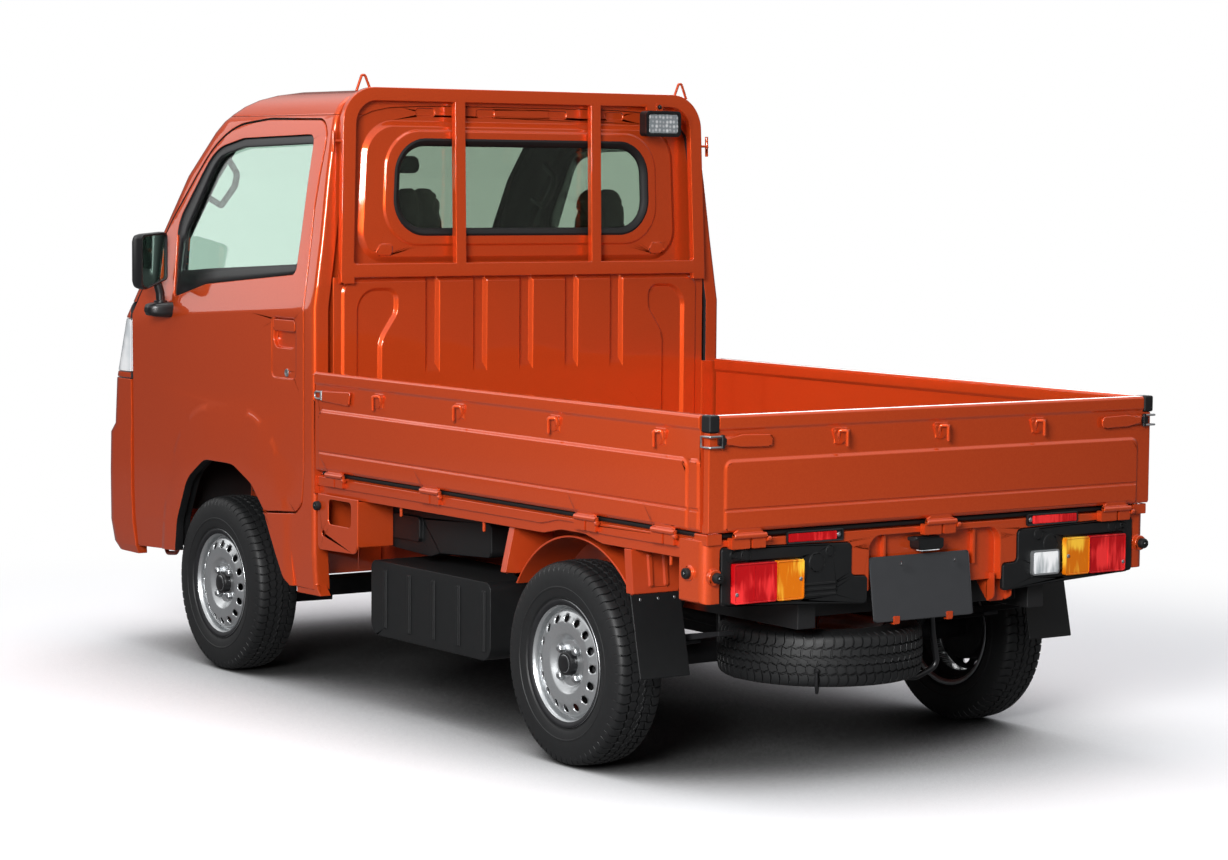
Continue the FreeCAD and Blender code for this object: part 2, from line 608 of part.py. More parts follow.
def make_driveline():
    """Engine and gearbox under the seats, propeller shaft, exhaust, tank and air box."""
    crankcase = [
        (-200, 250, 30), (200, 250, 30), (240, 420, 20), (240, 600, 40), (-60, 640, 30), (-240, 560, 40), (-240, 400, 20),
    ]
    pulley = rod((40, 165, 400), (40, 200, 400), 85)
    save("engine", fuse(slab_y(crankcase, 200, 540), pulley, rod((40, 540, 400), (40, 559, 400), 150)))
    shaft = rod((0, 840, 330), (-80, 1794, 272), 28)
    gearbox = [(561, 215, 20), (620, 225, 30), (860, 255, 20), (860, 400, 20), (620, 445, 30), (561, 455, 20)]
    save("transmission", fuse(slab_x(gearbox, -100, 100), shaft))
    muffler = slab_x([(1120, 210, 50), (1560, 210, 50), (1560, 340, 50), (1120, 340, 50)], -340, -160)
    inlet = rod((-250, 620, 250), (-250, 1140, 275), 22)
    tail = rod((-250, 1540, 275), (-250, 1660, 275), 20)
    save("exhaust", fuse(muffler, inlet, tail))
    tank = slab_x([(856, 215, 40), (1490, 215, 40), (1490, 430, 25), (856, 430, 25)], 440, 680)
    ribs = [box(676, 686, y, y + 14, 240, 405) for y in (930, 1060, 1190, 1320, 1450)]
    save("fuel_tank", fuse(tank, *ribs))
    shell = [(684, 466, 20), (1050, 452, 20), (1100, 466, 20), (1370, 480, 20), (1370, 575, 20), (684, 590, 20)]
    lid = slab_x([(730, 490, 14), (1010, 490, 14), (1010, 560, 14), (730, 560, 14)], 599, 612)
    save("air_box", fuse(slab_x(shell, 430, 600), lid))


# ---- bed ----------------------------------------------------------------------------------
SILL_ARCH = [
    (1650.0, 626.0, 90.0), (1800.0, 626.0, 60.0), (1880.0, 642.0, 120.0), (1990.0, 642.0, 120.0), (2070.0, 624.0, 80.0),
]
SILL_END = 2482.0
LEAF_BOTTOM = 655.0
GATE_HINGES = (742.0, 1266.0, 2023.0, 2362.0)
GATE_HOOKS = (989.0, 1416.0, 1879.0, 2346.0)
ROPE_RODS = (1061.0, 1493.0, 2353.0)
TAIL_HINGES = (-611.0, 0.0, 611.0)
TAIL_HOOKS = (-328.0, 0.0, 328.0)


def make_bed_floor():
    """Beaded floor sheet with cross members, side sills with their wheel arches, and rope rods."""
    sheet = box(-704, 704, HEADBOARD_BACK, 2512, FLOOR_TOP - SHEET, FLOOR_TOP)
    beads = [slab_z([(x - 9, 690, 8), (x + 9, 690, 8), (x + 9, 2440, 8), (x - 9, 2440, 8)], FLOOR_TOP - 3, FLOOR_TOP + 5)
             for x in (-600, -450, -300, -150, 0, 150, 300, 450, 600)]
    ends = [(SILL_END, 624.0), (SILL_END, 652.0), (HEADBOARD_BACK, 652.0)]
    flange = [(HEADBOARD_BACK, 624.0)] + SILL_ARCH + ends
    face = slab_x(flange, 714, 724)
    lower = [(y, z - 26, *radius) for y, z, *radius in flange[:-2]]
    sill = slab_x(lower + [(SILL_END, 655.0), (HEADBOARD_BACK, 655.0)], 690, 716)
    rods = [bent_bar([(690, y, 606), (703, y, 606), (703, y, 572)], 4.5, 6.5) for y in ROPE_RODS]
    side = fuse(sill, face, *rods)
    members = [box(-691, 691, y, y + 50, MEMBER_BOTTOM, 655) for y in (640, 1010, 1380, 1720, 2120, 2440)]
    floor = fuse(sheet, side, mirrored(side), *members).cut(beads)
    save("bed_floor", floor)
    high = RAIL_TOP + KICK_UP
    low_edge = [(640, RAIL_TOP), (1500, RAIL_TOP, 200), (1680, high, 200), (2489, high), (2489, 600), (640, 600)]
    bearer = slab_x(low_edge, RAIL_X - 25, RAIL_X + 25)
    save("bed_bearers", bearer, mirrored(bearer))


def make_wheel_houses():
    """Half-round arches over the rear wheels, each with a stay down from the sill in front."""
    outer = rod((534, WHEELBASE, TYRE_RADIUS), (684, WHEELBASE, TYRE_RADIUS), 331)
    inner = rod((520, WHEELBASE, TYRE_RADIUS), (690, WHEELBASE, TYRE_RADIUS), 325)
    keep = slab_x([(1500, 440), (2190, 470), (2190, 640), (1500, 640)], 500, 700)
    web = slab_x([(1771, 500), (2119, 500), (2119, 654), (1771, 654)], 534, 538)
    arch = fuse(outer.common(keep), web).cut(inner)
    stay = slab_y([(606, 466, 8), (728, 478, 8), (700, 598), (566, 598)], 1632, 1639)
    lip = slab_y([(722, 478), (728, 478), (700, 598), (694, 598)], 1614, 1639)
    house = fuse(arch, stay, lip)
    save("wheel_houses", house, mirrored(house))


CHANNELS = (-332.0, -165.0, 0.0, 165.0, 332.0)


def make_headboard():
    """Headboard with a raised field, five pressed channels, two pockets and its corner posts."""
    sheet = box(-666, 666, BED_FRONT, 613, MEMBER_BOTTOM, HEADBOARD_TOP)
    along = lambda a, b, y: Vector(a, y, b)
    field = ramped(symmetric([(640, 664, 20), (640, 1220, 40)]), along, 613, HEADBOARD_BACK, 7)
    channels = []
    for x in CHANNELS:
        plan = [(x - 15, 607), (x + 15, 607), (x + 26, 622), (x - 26, 622)]
        end = slab_x([(600, 985), (623, 935), (623, 1300), (600, 1300)], x - 40, x + 40)
        channels.append(slab_z(plan, 900, 1240).common(end))
    corners = [(592, 720, 30), (592, 1196, 70), (450, 1196, 36), (450, 1120, 50), (505, 1040, 80), (505, 720, 30)]
    pocket = ramped(corners, along, 621, 609, 10)
    post = box(665, 732, 613, HEADBOARD_BACK, MEMBER_BOTTOM, 950)
    post = fuse(post, box(690, 737, 613, 619.5, 872, 948))
    board = fuse(sheet, field).cut(channels).cut([pocket, mirrored(pocket)])
    save("bed_headboard", fuse(board, post, mirrored(post)))


GUARD_FRONT = 618.0
GUARD_BACK = 640.0


def make_guard_frame():
    """Guard frame on the headboard: hoop, cross bar, uprights, rope horns and side rope hooks."""
    outer = slab_y(symmetric([(655, 1226.5, 6), (640, 1780, 108)]), GUARD_FRONT, GUARD_BACK)
    inner = slab_y(symmetric([(611, 1266, 8), (597, 1741, 70)]), 610, 650)
    upright = box(226, 262, GUARD_FRONT, GUARD_BACK, 1260, 1750)
    foot = slab_y([(609, 1208, 4), (655, 1208, 4), (655, 1240), (609, 1240)], 622, GUARD_BACK)
    horn = bent_bar([(592, 629, 1768), (574, 629, 1814), (563, 629, 1814), (546, 629, 1774)], 4, 5)
    hook = fuse(rod((638, 629, 1622), (671, 629, 1622), 4), rod((671, 629, 1590), (671, 629, 1652), 5))
    tab = slab_y([(-470, 1729), (-432, 1729), (-432, 1750), (-470, 1750)], 634, 640)
    half = [upright, foot, horn, hook]
    frame = fuse(outer.cut(inner), *half, *[mirrored(piece) for piece in half], tab)
    frame.rotate(Vector(0, GUARD_FRONT, 1226.5), Vector(1, 0, 0), 1.23)
    save("guard_frame", frame)


def make_work_lamp():
    """Work lamp hung from the guard frame on its bracket, with a finned back and a bezel."""
    case = slab_y([(-517, 1650, 12), (-388, 1650, 12), (-388, 1727, 12), (-517, 1727, 12)], 655, 690)
    lens = slab_y([(-509, 1658, 8), (-396, 1658, 8), (-396, 1719, 8), (-509, 1719, 8)], 686, 700)
    fins = [box(-500 + 24 * step, -494 + 24 * step, 646, 656, 1656, 1721) for step in range(5)]
    save("work_lamp", fuse(case.cut(lens), *fins))


GATE_SECTION = [
    # depth inside the outer face, height
    (8, 670), (5, 676), (5, 918), (0, 924), (0, 951), (5, RAIL_TOP_OF_GATE), (27, RAIL_TOP_OF_GATE),
    (GATE_DEPTH, 951), (GATE_DEPTH, 922), (26, 914), (26, 694), (GATE_DEPTH, 688), (GATE_DEPTH, 670),
]
PANEL_BOTTOM = 672.0
PANEL_TOP = 848.0
PANEL_STEP = 5.0
PANEL_RUN = 7.0


def gate_panel(start, end, crown, plane, face):
    """Raised lower panel of a gate between two stations, with its bead near the bottom."""
    corners = [(start, PANEL_BOTTOM, 9), (end, PANEL_BOTTOM, 9), (end, PANEL_TOP, crown), (start, PANEL_TOP, crown)]
    panel = ramped(corners, plane, face - PANEL_STEP, face, PANEL_RUN)
    bead = [(start - 20, 721), (end + 20, 721), (end + 20, 728), (start - 20, 728)]
    groove = Part.Face(outline(bead, lambda a, b: plane(a, b, face - 3))).extrude(plane(0, 0, 10) - plane(0, 0, 0))
    return panel.cut(groove)


def hinge_leaf(centre):
    """Outline of a gate hinge's leaf, centred on a station along the gate."""
    return [
        (centre - 44, LEAF_BOTTOM), (centre + 44, LEAF_BOTTOM), (centre + 44, 668, 6), (centre + 14, 690, 8),
        (centre - 14, 690, 8), (centre - 44, 668, 6),
    ]


def rope_hook(station, place):
    """Bent rod of a rope hook hanging at a station; place(along, out, up) sets its points."""
    points = [place(station + 8, -4, 880), place(station + 8, 0, 906)]
    points += [place(station - 8, 14, 906), place(station - 8, 14, 866)]
    return bent_bar(points, 4.5, 6)


def make_gates():
    """Drop sides and tailgate, each on its hinges, with rope hooks, latch levers and end caps."""
    side = lambda a, b, x: Vector(x, a, b)
    section = [(HALF_WIDTH - depth, z) for depth, z in GATE_SECTION]
    gate = slab_y(section, GATE_FRONT, SIDE_GATE_END)
    panel = gate_panel(646, SIDE_PANEL_END, 24, side, HALF_WIDTH)
    stile = gate_panel(SIDE_PANEL_END + 4, SIDE_GATE_END - 1, 12, side, HALF_WIDTH)
    pieces = []
    for y in GATE_HINGES:
        pieces += [slab_x(hinge_leaf(y), 729, 736), rod((738, y - 44, 662), (738, y + 56, 662), 7)]
    for y in GATE_HOOKS:
        pieces.append(box(730, 735, y - 20, y + 20, 874, 912))
        pieces.append(rope_hook(y, lambda along, out, up: (736 + out, along, up)))
    pieces.append(slab_x([(668, 874, 12), (830, 868, 8), (840, 908, 8), (668, 902, 12)], 736, 742))
    pieces.append(box(731, 738, 676, 706, 880, 898))
    gate = fuse(gate, panel, stile, *pieces)
    save("side_gate_left", gate)
    save("side_gate_right", mirrored(gate))

    across = lambda a, b, y: Vector(-a, y, b)
    section = [(TAILGATE_FACE - depth, z) for depth, z in GATE_SECTION]
    tail = slab_x(section, -TAILGATE_HALF, TAILGATE_HALF)
    pieces = [gate_panel(-688, 688, 24, across, TAILGATE_FACE)]
    for x in TAIL_HINGES:
        pieces += [slab_y(hinge_leaf(x), 2543, 2550), rod((x - 50, 2552, 660), (x + 50, 2552, 660), 7)]
    for x in TAIL_HOOKS:
        pieces.append(box(x - 20, x + 20, 2544, 2549, 874, 912))
        pieces.append(rope_hook(x, lambda along, out, up: (along, 2550 + out, up)))
    lever = [(548, 876, 12), (640, 878, 6), (690, 886, 4), (690, 900, 4), (640, 909, 6), (548, 906, 12)]
    paddle = slab_y(lever, 2553, 2558)
    pivot = box(655, 700, 2544, 2555, 882, 904)
    pieces += [paddle, pivot, mirrored(paddle), mirrored(pivot)]
    tail = fuse(tail, *pieces)
    save("tailgate", tail.cut([box(705, 740, 2500, 2560, 914, 960), box(-740, -705, 2500, 2560, 914, 960)]))
    cap = box(705.5, 737, 2517, 2553, 914.5, 957)
    cap = cap.makeFillet(5, cap.Edges)
    save("gate_caps", cap, mirrored(cap))


LAMP_PANEL = [
    (227.0, 465.0, 10.0), (684.0, 490.0, 10.0), (684.0, 632.0, 10.0), (278.0, 622.0, 14.0), (278.0, 537.0, 14.0),
    (227.0, 535.0, 10.0),
]
PANEL_RIBS = (494.0, 508.0, 522.0)
PANEL_BOSSES = ((650.0, 612.0, 9.0), (610.0, 611.0, 14.0), (347.0, 605.0, 14.0), (390.0, 579.0, 24.0))


def make_rear_end():
    """Rear end panel with rounded corners, lamp panels, tail lamps, plate and gate stops."""
    plan = [
        (734, 2428), (734, 2532, 26), (-734, 2532, 26), (-734, 2428),
        (-724, 2428), (-724, 2500, 4), (724, 2500, 4), (724, 2428),
    ]
    sheet = slab_z(plan, 495, 650).common(slab_y(symmetric([(736, 495, 14), (736, 650)]), 2400, 2600))
    recess = slab_y(symmetric([(220, 400), (220, 634, 40)]), 2508, 2540)
    ribs = [box(x - 4, x + 4, 2507, 2520, 540, 634) for x in (159, -140)]
    lamp_hole = slab_y(grown(LAMP_PANEL, 2), 2522, 2540)
    boss = rod((0, 2531, 562), (0, 2545, 562), 20)
    side_boss = rod((733, 2474, 568), (740, 2474, 568), 18)
    bosses = [boss.translated(Vector(x, 0, 0)) for x in (708, -708)] + [side_boss, mirrored(side_boss)]
    body = fuse(sheet.cut([recess, lamp_hole, mirrored(lamp_hole)]), *ribs, *bosses)
    save("rear_end_panel", body)

    panel = slab_y(LAMP_PANEL, 2522.5, 2536)
    dish = slab_y([(432, 489, 8), (656, 489, 8), (656, 595, 8), (432, 595, 8)], 2530, 2540)
    ribs = [slab_y([(327, z, 1.5), (430, z, 1.5), (430, z + 5, 1.5), (327, z + 5, 1.5)], 2535, 2538) for z in PANEL_RIBS]
    bosses = [rod((x, 2535, z), (x, 2538, z), radius) for x, z, radius in PANEL_BOSSES]
    panel = fuse(panel.cut(dish), *ribs, *bosses)
    save("lamp_panels", panel, mirrored(panel))
    lens = slab_y([(436, 493, 6), (652, 493, 6), (652, 591, 6), (436, 591, 6)], 2530.5, 2546)
    seam = box(520, 523, 2542, 2550, 480, 600)
    save("tail_lamps", lens.cut(seam), mirrored(lens.cut(seam)))

    tag = slab_y([(-115, 0, 8), (215, 0, 8), (215, 165, 8), (-115, 165, 8)], 0, 2)
    tag.rotate(Vector(0, 0, 0), Vector(1, 0, 0), 8)
    tag.translate(Vector(0, 2547, 415))
    save("number_plate", tag)
    stops = [
        turned([(740.5, 0), (740.5, 12), (748, 12), (748, 8), (753, 8), (753, 0)]).translated(Vector(0, 2474, 568)),
        turned([(733.5, 0), (733.5, 13), (747, 12), (747, 8), (752, 8), (752, 0)]).translated(Vector(0, 650, 568)),
        fuse(rod((708, 2545.5, 562), (708, 2560, 562), 13), rod((708, 2560, 562), (708, TAIL, 562), 8)),
    ]
    save("gate_stops", *stops, *[mirrored(stop) for stop in stops])


def make_extras():
    """Side brackets under the bed and mud flaps on their ribbed hangers."""
    web = slab_x([(640, 440, 16), (869, 446, 30), (869, 603), (640, 603)], 728, 733)
    window = slab_x([(701, 519, 14), (831, 519, 14), (831, 591, 14), (701, 591, 14)], 720, 740)
    bolt = rod((720, 672, 490), (740, 672, 490), 9)
    foot = box(614, 729, 640, 645, 458, 597)
    tail = box(614, 729, 864, 869, 466, 597)
    bracket = fuse(web.cut([window, bolt]), foot, tail)
    save("side_brackets", bracket, mirrored(bracket))
    flap = slab_x([(2211, 484), (2216, 484), (2262, 276), (2257, 274)], 574, 728)
    save("mud_flaps", flap, mirrored(flap))
    plate = slab_y([(574, 484, 6), (716, 484, 6), (724, 598), (560, 598)], 2203, 2210)
    edge = slab_y([(709, 484), (716, 484), (724, 598), (717, 598)], 2180, 2210)
    rib = slab_y([(608, 500, 5), (620, 500, 5), (628, 585, 5), (614, 585, 5)], 2209, 2215)
    hanger = fuse(plate, edge, rib, rib.translated(Vector(47, 0, 0)))
    save("flap_hangers", hanger, mirrored(hanger))


make_cab()
make_bumper()
make_door()
make_cab_back()
make_cab_floor()
make_interior()
make_wheels()
make_knuckle()
make_front_suspension()
make_rear_axle()
make_chassis()
make_driveline()
make_bed_floor()
make_wheel_houses()
make_headboard()
make_guard_frame()
make_work_lamp()
make_gates()
make_rear_end()
make_extras()
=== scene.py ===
"""Finishes, tyres, seats, glass seals and trim of the kei truck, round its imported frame."""
import bmesh
import bpy
import json
import math
from mathutils import Matrix, Vector
from mathutils.bvhtree import BVHTree


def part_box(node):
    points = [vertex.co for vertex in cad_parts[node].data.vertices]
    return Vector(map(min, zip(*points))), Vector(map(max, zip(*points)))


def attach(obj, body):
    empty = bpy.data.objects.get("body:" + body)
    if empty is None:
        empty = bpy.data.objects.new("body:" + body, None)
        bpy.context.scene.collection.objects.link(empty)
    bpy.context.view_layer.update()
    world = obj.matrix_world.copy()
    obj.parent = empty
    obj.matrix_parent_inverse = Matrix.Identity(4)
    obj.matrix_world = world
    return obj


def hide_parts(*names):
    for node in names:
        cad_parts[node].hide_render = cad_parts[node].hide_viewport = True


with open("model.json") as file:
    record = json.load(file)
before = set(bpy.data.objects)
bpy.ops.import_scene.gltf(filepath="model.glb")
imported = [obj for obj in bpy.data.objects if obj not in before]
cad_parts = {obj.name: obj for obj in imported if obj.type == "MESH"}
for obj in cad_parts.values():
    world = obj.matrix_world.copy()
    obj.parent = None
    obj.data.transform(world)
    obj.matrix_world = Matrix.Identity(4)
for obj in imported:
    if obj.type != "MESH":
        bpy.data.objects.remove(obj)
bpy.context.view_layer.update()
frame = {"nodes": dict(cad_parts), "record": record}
nodes = frame["nodes"]
front_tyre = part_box("tyre_front_left")
AXLE_Y = (front_tyre[0][1] + front_tyre[1][1]) / 2
SIDES = (("left", 1), ("right", -1))


def link_object(name, data):
    """A new object, linked to the scene."""
    thing = bpy.data.objects.new(name, data)
    bpy.context.scene.collection.objects.link(thing)
    return thing


# ---- the view ----
CAMERA_PLACE = (5.2513, 7.7744, 1.5350)
CAMERA_AZIMUTH = 144.6
CAMERA_ELEVATION = 4.58
CAMERA_ROLL = 0.51
CAMERA_LENS = 92.84
CAMERA_SHIFT = (-0.0272, -0.0020)
SENSOR_WIDTH = 36.0
CLIP_END = 200.0


def place_camera():
    """Camera that looks at the truck from behind its left side."""
    turn = math.radians(CAMERA_AZIMUTH)
    tilt = math.radians(CAMERA_ELEVATION)
    roll = math.radians(CAMERA_ROLL)
    back = Vector((math.sin(turn) * math.cos(tilt), -math.cos(turn) * math.cos(tilt), math.sin(tilt)))
    right = Vector((math.cos(turn), math.sin(turn), 0.0))
    up = back.cross(right)
    rolled_right = right * math.cos(roll) + up * math.sin(roll)
    rolled_up = up * math.cos(roll) - right * math.sin(roll)
    data = bpy.data.cameras.new("camera")
    data.lens = CAMERA_LENS
    data.sensor_width = SENSOR_WIDTH
    data.shift_x, data.shift_y = CAMERA_SHIFT
    data.clip_end = CLIP_END
    camera = link_object("camera", data)
    axes = Matrix((rolled_right, rolled_up, back)).transposed()
    camera.matrix_world = Matrix.Translation(CAMERA_PLACE) @ axes.to_4x4()
    bpy.context.scene.camera = camera


# ---- shader building ----
def linear(code):
    """An sRGB hex colour as linear RGBA."""
    channels = [int(code[start:start + 2], 16) / 255 for start in (1, 3, 5)]
    return [c / 12.92 if c <= 0.04045 else ((c + 0.055) / 1.055) ** 2.4 for c in channels] + [1.0]


def add(tree, kind, inputs=None, **settings):
    """Adds a shader node; inputs maps a socket's name or number to a value or another node's output."""
    node = tree.nodes.new("ShaderNode" + kind)
    for name, value in settings.items():
        setattr(node, name, value)
    for name, value in (inputs or {}).items():
        if isinstance(value, bpy.types.NodeSocket):
            tree.links.new(value, node.inputs[name])
        else:
            node.inputs[name].default_value = value
    return node


def start_material(name, **look):
    """A material with one Principled shader; look gives its sockets' values by name."""
    material = bpy.data.materials.new(name)
    material.use_nodes = True
    tree = material.node_tree
    shader = tree.nodes["Principled BSDF"]
    for socket, value in look.items():
        shader.inputs[socket.replace("_", " ")].default_value = value
    return material, tree, shader


def blend(tree, shader, share, low, high):
    """Base colour between two hex colours, by a share from 0 to 1."""
    mix = add(tree, "Mix", {0: share, 6: linear(low), 7: linear(high)}, data_type="RGBA")
    tree.links.new(mix.outputs[2], shader.inputs["Base Color"])


def ease(tree, value, start, end, low=0.0, high=1.0):
    """Carries a value smoothly from one range over to another."""
    ranges = {0: value, 1: start, 2: end, 3: low, 4: high}
    return add(tree, "MapRange", ranges, interpolation_type="SMOOTHSTEP").outputs[0]


def emboss(tree, shader, height, strength, depth, **settings):
    """Relief that follows a height socket, with its depth in metres."""
    bump = add(tree, "Bump", {"Height": height, "Strength": strength, "Distance": depth}, **settings)
    tree.links.new(bump.outputs["Normal"], shader.inputs["Normal"])


def grain(tree, shader, size, depth, place):
    """Fine relief of a grain size and a depth, both in metres."""
    noise = add(tree, "TexNoise", {"Vector": place, "Scale": 1.0 / size, "Detail": 2.0})
    emboss(tree, shader, noise.outputs["Fac"], 1.0, depth)


def object_place(tree):
    """Position on the object, in metres."""
    return add(tree, "TexCoord").outputs["Object"]


# ---- finishes ----
# Metres behind the front axle where the rails' painted shade starts, and where it is fully black.
RAIL_SHADE_START, RAIL_SHADE_FULL = 2.02, 2.12


def finish(name, dark, light, patch, grain_size, grain_depth, **look):
    """Finish that wanders between two colours in patches, under a fine relief; sizes are in metres."""
    material, tree, shader = start_material(name, **look)
    place = object_place(tree)
    noise = add(tree, "TexNoise", {"Vector": place, "Scale": 1.0 / patch, "Detail": 4.0})
    blend(tree, shader, noise.outputs["Fac"], dark, light)
    grain(tree, shader, grain_size, grain_depth, place)
    return material


def make_rail_shade_finish():
    """Chassis rails: orange dip paint ahead, turning black on the ends behind the rear axle as painted shade."""
    material, tree, shader = start_material("rail_with_painted_shade", Roughness=0.55)
    place = object_place(tree)
    along = add(tree, "SeparateXYZ", {0: place}).outputs["Y"]
    share = ease(tree, along, AXLE_Y + RAIL_SHADE_START, AXLE_Y + RAIL_SHADE_FULL)
    blend(tree, shader, share, "#A8330F", "#121213")
    grain(tree, shader, 0.006, 0.0001, place)
    return material


def make_glass(name, code):
    """Float glass with a body tint: clear and reflective, and light passes it straight."""
    material, tree, shader = start_material(name, Base_Color=linear(code), Roughness=0.0, IOR=1.42,
                                            Transmission_Weight=1.0)
    clear = add(tree, "BsdfTransparent", {"Color": linear(code)})
    path = add(tree, "LightPath")
    mix = add(tree, "MixShader", {0: path.outputs["Is Shadow Ray"], 1: shader.outputs[0], 2: clear.outputs[0]})
    tree.links.new(mix.outputs[0], tree.nodes["Material Output"].inputs["Surface"])
    return material


def make_lens(name, deep, bright, ribs):
    """Moulded acrylic lamp lens: glossy, coloured through, with upright ribs in relief; the light that they throw
    back is painted into its colour as bright streaks and patches.
    """
    material, tree, shader = start_material(name, Roughness=0.08, IOR=1.49, Specular_IOR_Level=0.35)
    place = object_place(tree)
    drawn = add(tree, "Mapping", {"Vector": place, "Scale": (1.0 / ribs, 1.0, 14.0)})
    streak = add(tree, "TexNoise", {"Vector": drawn.outputs[0], "Scale": 1.0, "Detail": 2.0})
    glow = add(tree, "TexNoise", {"Vector": place, "Scale": 17.0, "Detail": 0.0})
    painted_highlight = add(tree, "Math", {0: streak.outputs["Fac"], 1: glow.outputs["Fac"]}, operation="ADD")
    # Painted highlight: the colour turns bright along the streaks and in patches.
    blend(tree, shader, ease(tree, painted_highlight.outputs[0], 0.80, 1.22), deep, bright)
    emboss(tree, shader, streak.outputs["Fac"], 0.5, 0.001)
    return material


def make_led_lens():
    """Work lamp lens: clear, cast in small domes, each with a painted highlight, bright at its middle and grey at its
    edge.
    """
    material, tree, shader = start_material("domed_lamp_lens", Roughness=0.1, IOR=1.49, Coat_Weight=0.5)
    cells = add(tree, "TexVoronoi", {"Vector": object_place(tree), "Scale": 75.0, "Randomness": 0.25})
    # Painted highlight in each dome: bright in the middle, grey at the edge.
    share = add(tree, "MapRange", {0: cells.outputs["Distance"], 1: 0.2, 2: 0.6})
    blend(tree, shader, share.outputs[0], "#F4F6F6", "#7C8386")
    emboss(tree, shader, cells.outputs["Distance"], 0.6, 0.002, invert=True)
    return material


def make_bright_pan():
    """Vacuum-metallised lamp pan behind the lenses: mirror bright, pressed in small facets."""
    material, tree, shader = start_material("metallised_lamp_pan", Base_Color=linear("#DCDEE0"), Metallic=1.0,
                                            Roughness=0.16)
    cells = add(tree, "TexVoronoi", {"Vector": object_place(tree), "Scale": 90.0})
    emboss(tree, shader, cells.outputs["Distance"], 0.9, 0.003)
    return material


# Sprayed and clear-coated body colour: glossy, with a fine peel and flake.
paint = finish("orange_metallic_paint", "#C44119", "#D04F20", 0.004, 0.012, 0.00002, Metallic=0.4, Roughness=0.34,
               Specular_IOR_Level=0.0, Coat_Weight=1.0, Coat_Roughness=0.04, Coat_IOR=1.5)
# Dip paint on the chassis and brackets: thinner and less glossy than the body.
frame_paint = finish("orange_dip_paint", "#A8330F", "#BE4317", 0.08, 0.006, 0.00005, Metallic=0.1, Roughness=0.42,
                     Coat_Weight=0.4, Coat_Roughness=0.2)
rail_shade_finish = make_rail_shade_finish()
# Bed floor's thinner, duller coat, darkened as painted shade in the bed.
bed_floor_shade_paint = finish("bed_floor_paint_in_shade", "#4C1707", "#66230C", 0.12, 0.01, 0.00005, Roughness=0.5)
# Unpainted black polypropylene, moulded with a leather-like grain: dull and even.
moulded_black = finish("moulded_polypropylene", "#0A0B0C", "#111213", 0.03, 0.0016, 0.00008, Roughness=0.55,
                       Specular_IOR_Level=0.36)
# Black enamel on small steel parts: smooth with a soft shine.
satin_black = finish("satin_black_enamel", "#101011", "#18181A", 0.02, 0.004, 0.00002, Roughness=0.32, IOR=1.5)
# Rubber of seals, caps and flaps: black and matt.
rubber = finish("epdm_rubber", "#09090A", "#101011", 0.02, 0.002, 0.00004, Roughness=0.62, Specular_IOR_Level=0.36)
# Carbon-black tyre rubber, vulcanised: charcoal, slightly dusty.
tyre_rubber = finish("tyre_rubber", "#0E0E0F", "#18191A", 0.02, 0.0015, 0.00012, Roughness=0.55, IOR=1.45)
# Silver enamel on pressed steel wheels: bright, with soft reflections.
wheel_silver = finish("silver_wheel_enamel", "#B2B5B7", "#C6C8C9", 0.006, 0.003, 0.00002, Metallic=0.85,
                      Roughness=0.34, Coat_Weight=0.5, Coat_Roughness=0.12)
# Cast and forged running gear under a thin black wash: dark and rough.
cast_iron = finish("cast_iron", "#17171A", "#2B2B2D", 0.03, 0.003, 0.0003, Metallic=0.4, Roughness=0.6)
# Zinc plate of hooks, pins and clips: pale grey with a dull sheen.
zinc_steel = finish("zinc_plated_steel", "#8C8E90", "#AEB0B2", 0.01, 0.002, 0.00004, Metallic=0.9, Roughness=0.36)
window_glass = make_glass("green_tinted_glass", "#D6E9DF")
rear_glass = make_glass("dark_tinted_glass", "#A3AC9E")
red_lens = make_lens("red_acrylic_lens", "#B00C12", "#F03434", 0.012)
amber_lens = make_lens("amber_acrylic_lens", "#D87008", "#FFC63C", 0.012)
clear_lens = make_lens("clear_polycarbonate_lens", "#AEB4B6", "#FFFFFF", 0.012)
headlamp_lens = make_lens("smooth_polycarbonate_lens", "#D6DBDD", "#F8F9F9", 0.060)
# Black knitted polyester seat cloth: matt, with a fine rib.
seat_cloth = finish("seat_cloth", "#131314", "#242427", 0.004, 0.002, 0.0003, Roughness=0.9, Sheen_Weight=0.3,
                    Sheen_Roughness=0.5)
# Plain dark grey enamel of the blank plate: even, half matt.
plate_enamel = finish("grey_plate_enamel", "#303133", "#37383A", 0.05, 0.004, 0.00002, Roughness=0.4)
led_lens = make_led_lens()
# Silvered mirror glass: bright and faintly green.
mirror_glass = start_material("mirror_glass", Base_Color=linear("#9CB8AC"), Metallic=1.0, Roughness=0.03)[0]
bright_pan = make_bright_pan()
# Dark grey moulded lining of the cab, on doors, pillars, roof and back wall: dull.
cab_trim = finish("cab_lining", "#1D1E20", "#27282A", 0.02, 0.002, 0.0001, Roughness=0.7)

FINISH_OF_SLOT = {
    "paint": paint, "underside": frame_paint, "black_plastic": moulded_black, "steel_rim": wheel_silver,
    "tyre": tyre_rubber, "glass": window_glass, "red_lens": red_lens, "clear_lens": headlamp_lens, "cast": cast_iron,
    "seat_fabric": seat_cloth, "stop_rubber": rubber, "plate": plate_enamel,
}
FINISH_OF_NODE = {"rear_window": rear_glass, "chassis_frame": rail_shade_finish}
UNBEVELLED = ("tyre", "rim", "spare", "steering_wheel")
LINED_NODES = ("cab_roof", "cab_side_left", "cab_side_right", "cab_back_panel", "door_left", "door_right",
               "front_panel", "cab_floor")
CABIN_MIDDLE = Vector((0.0, -0.8, 1.1))
WELD_DISTANCE = 0.00002
PRESSED_EDGE = 0.0022
# Metres within which a band's last ring joins its first.
SEAM_GAP = 0.00001
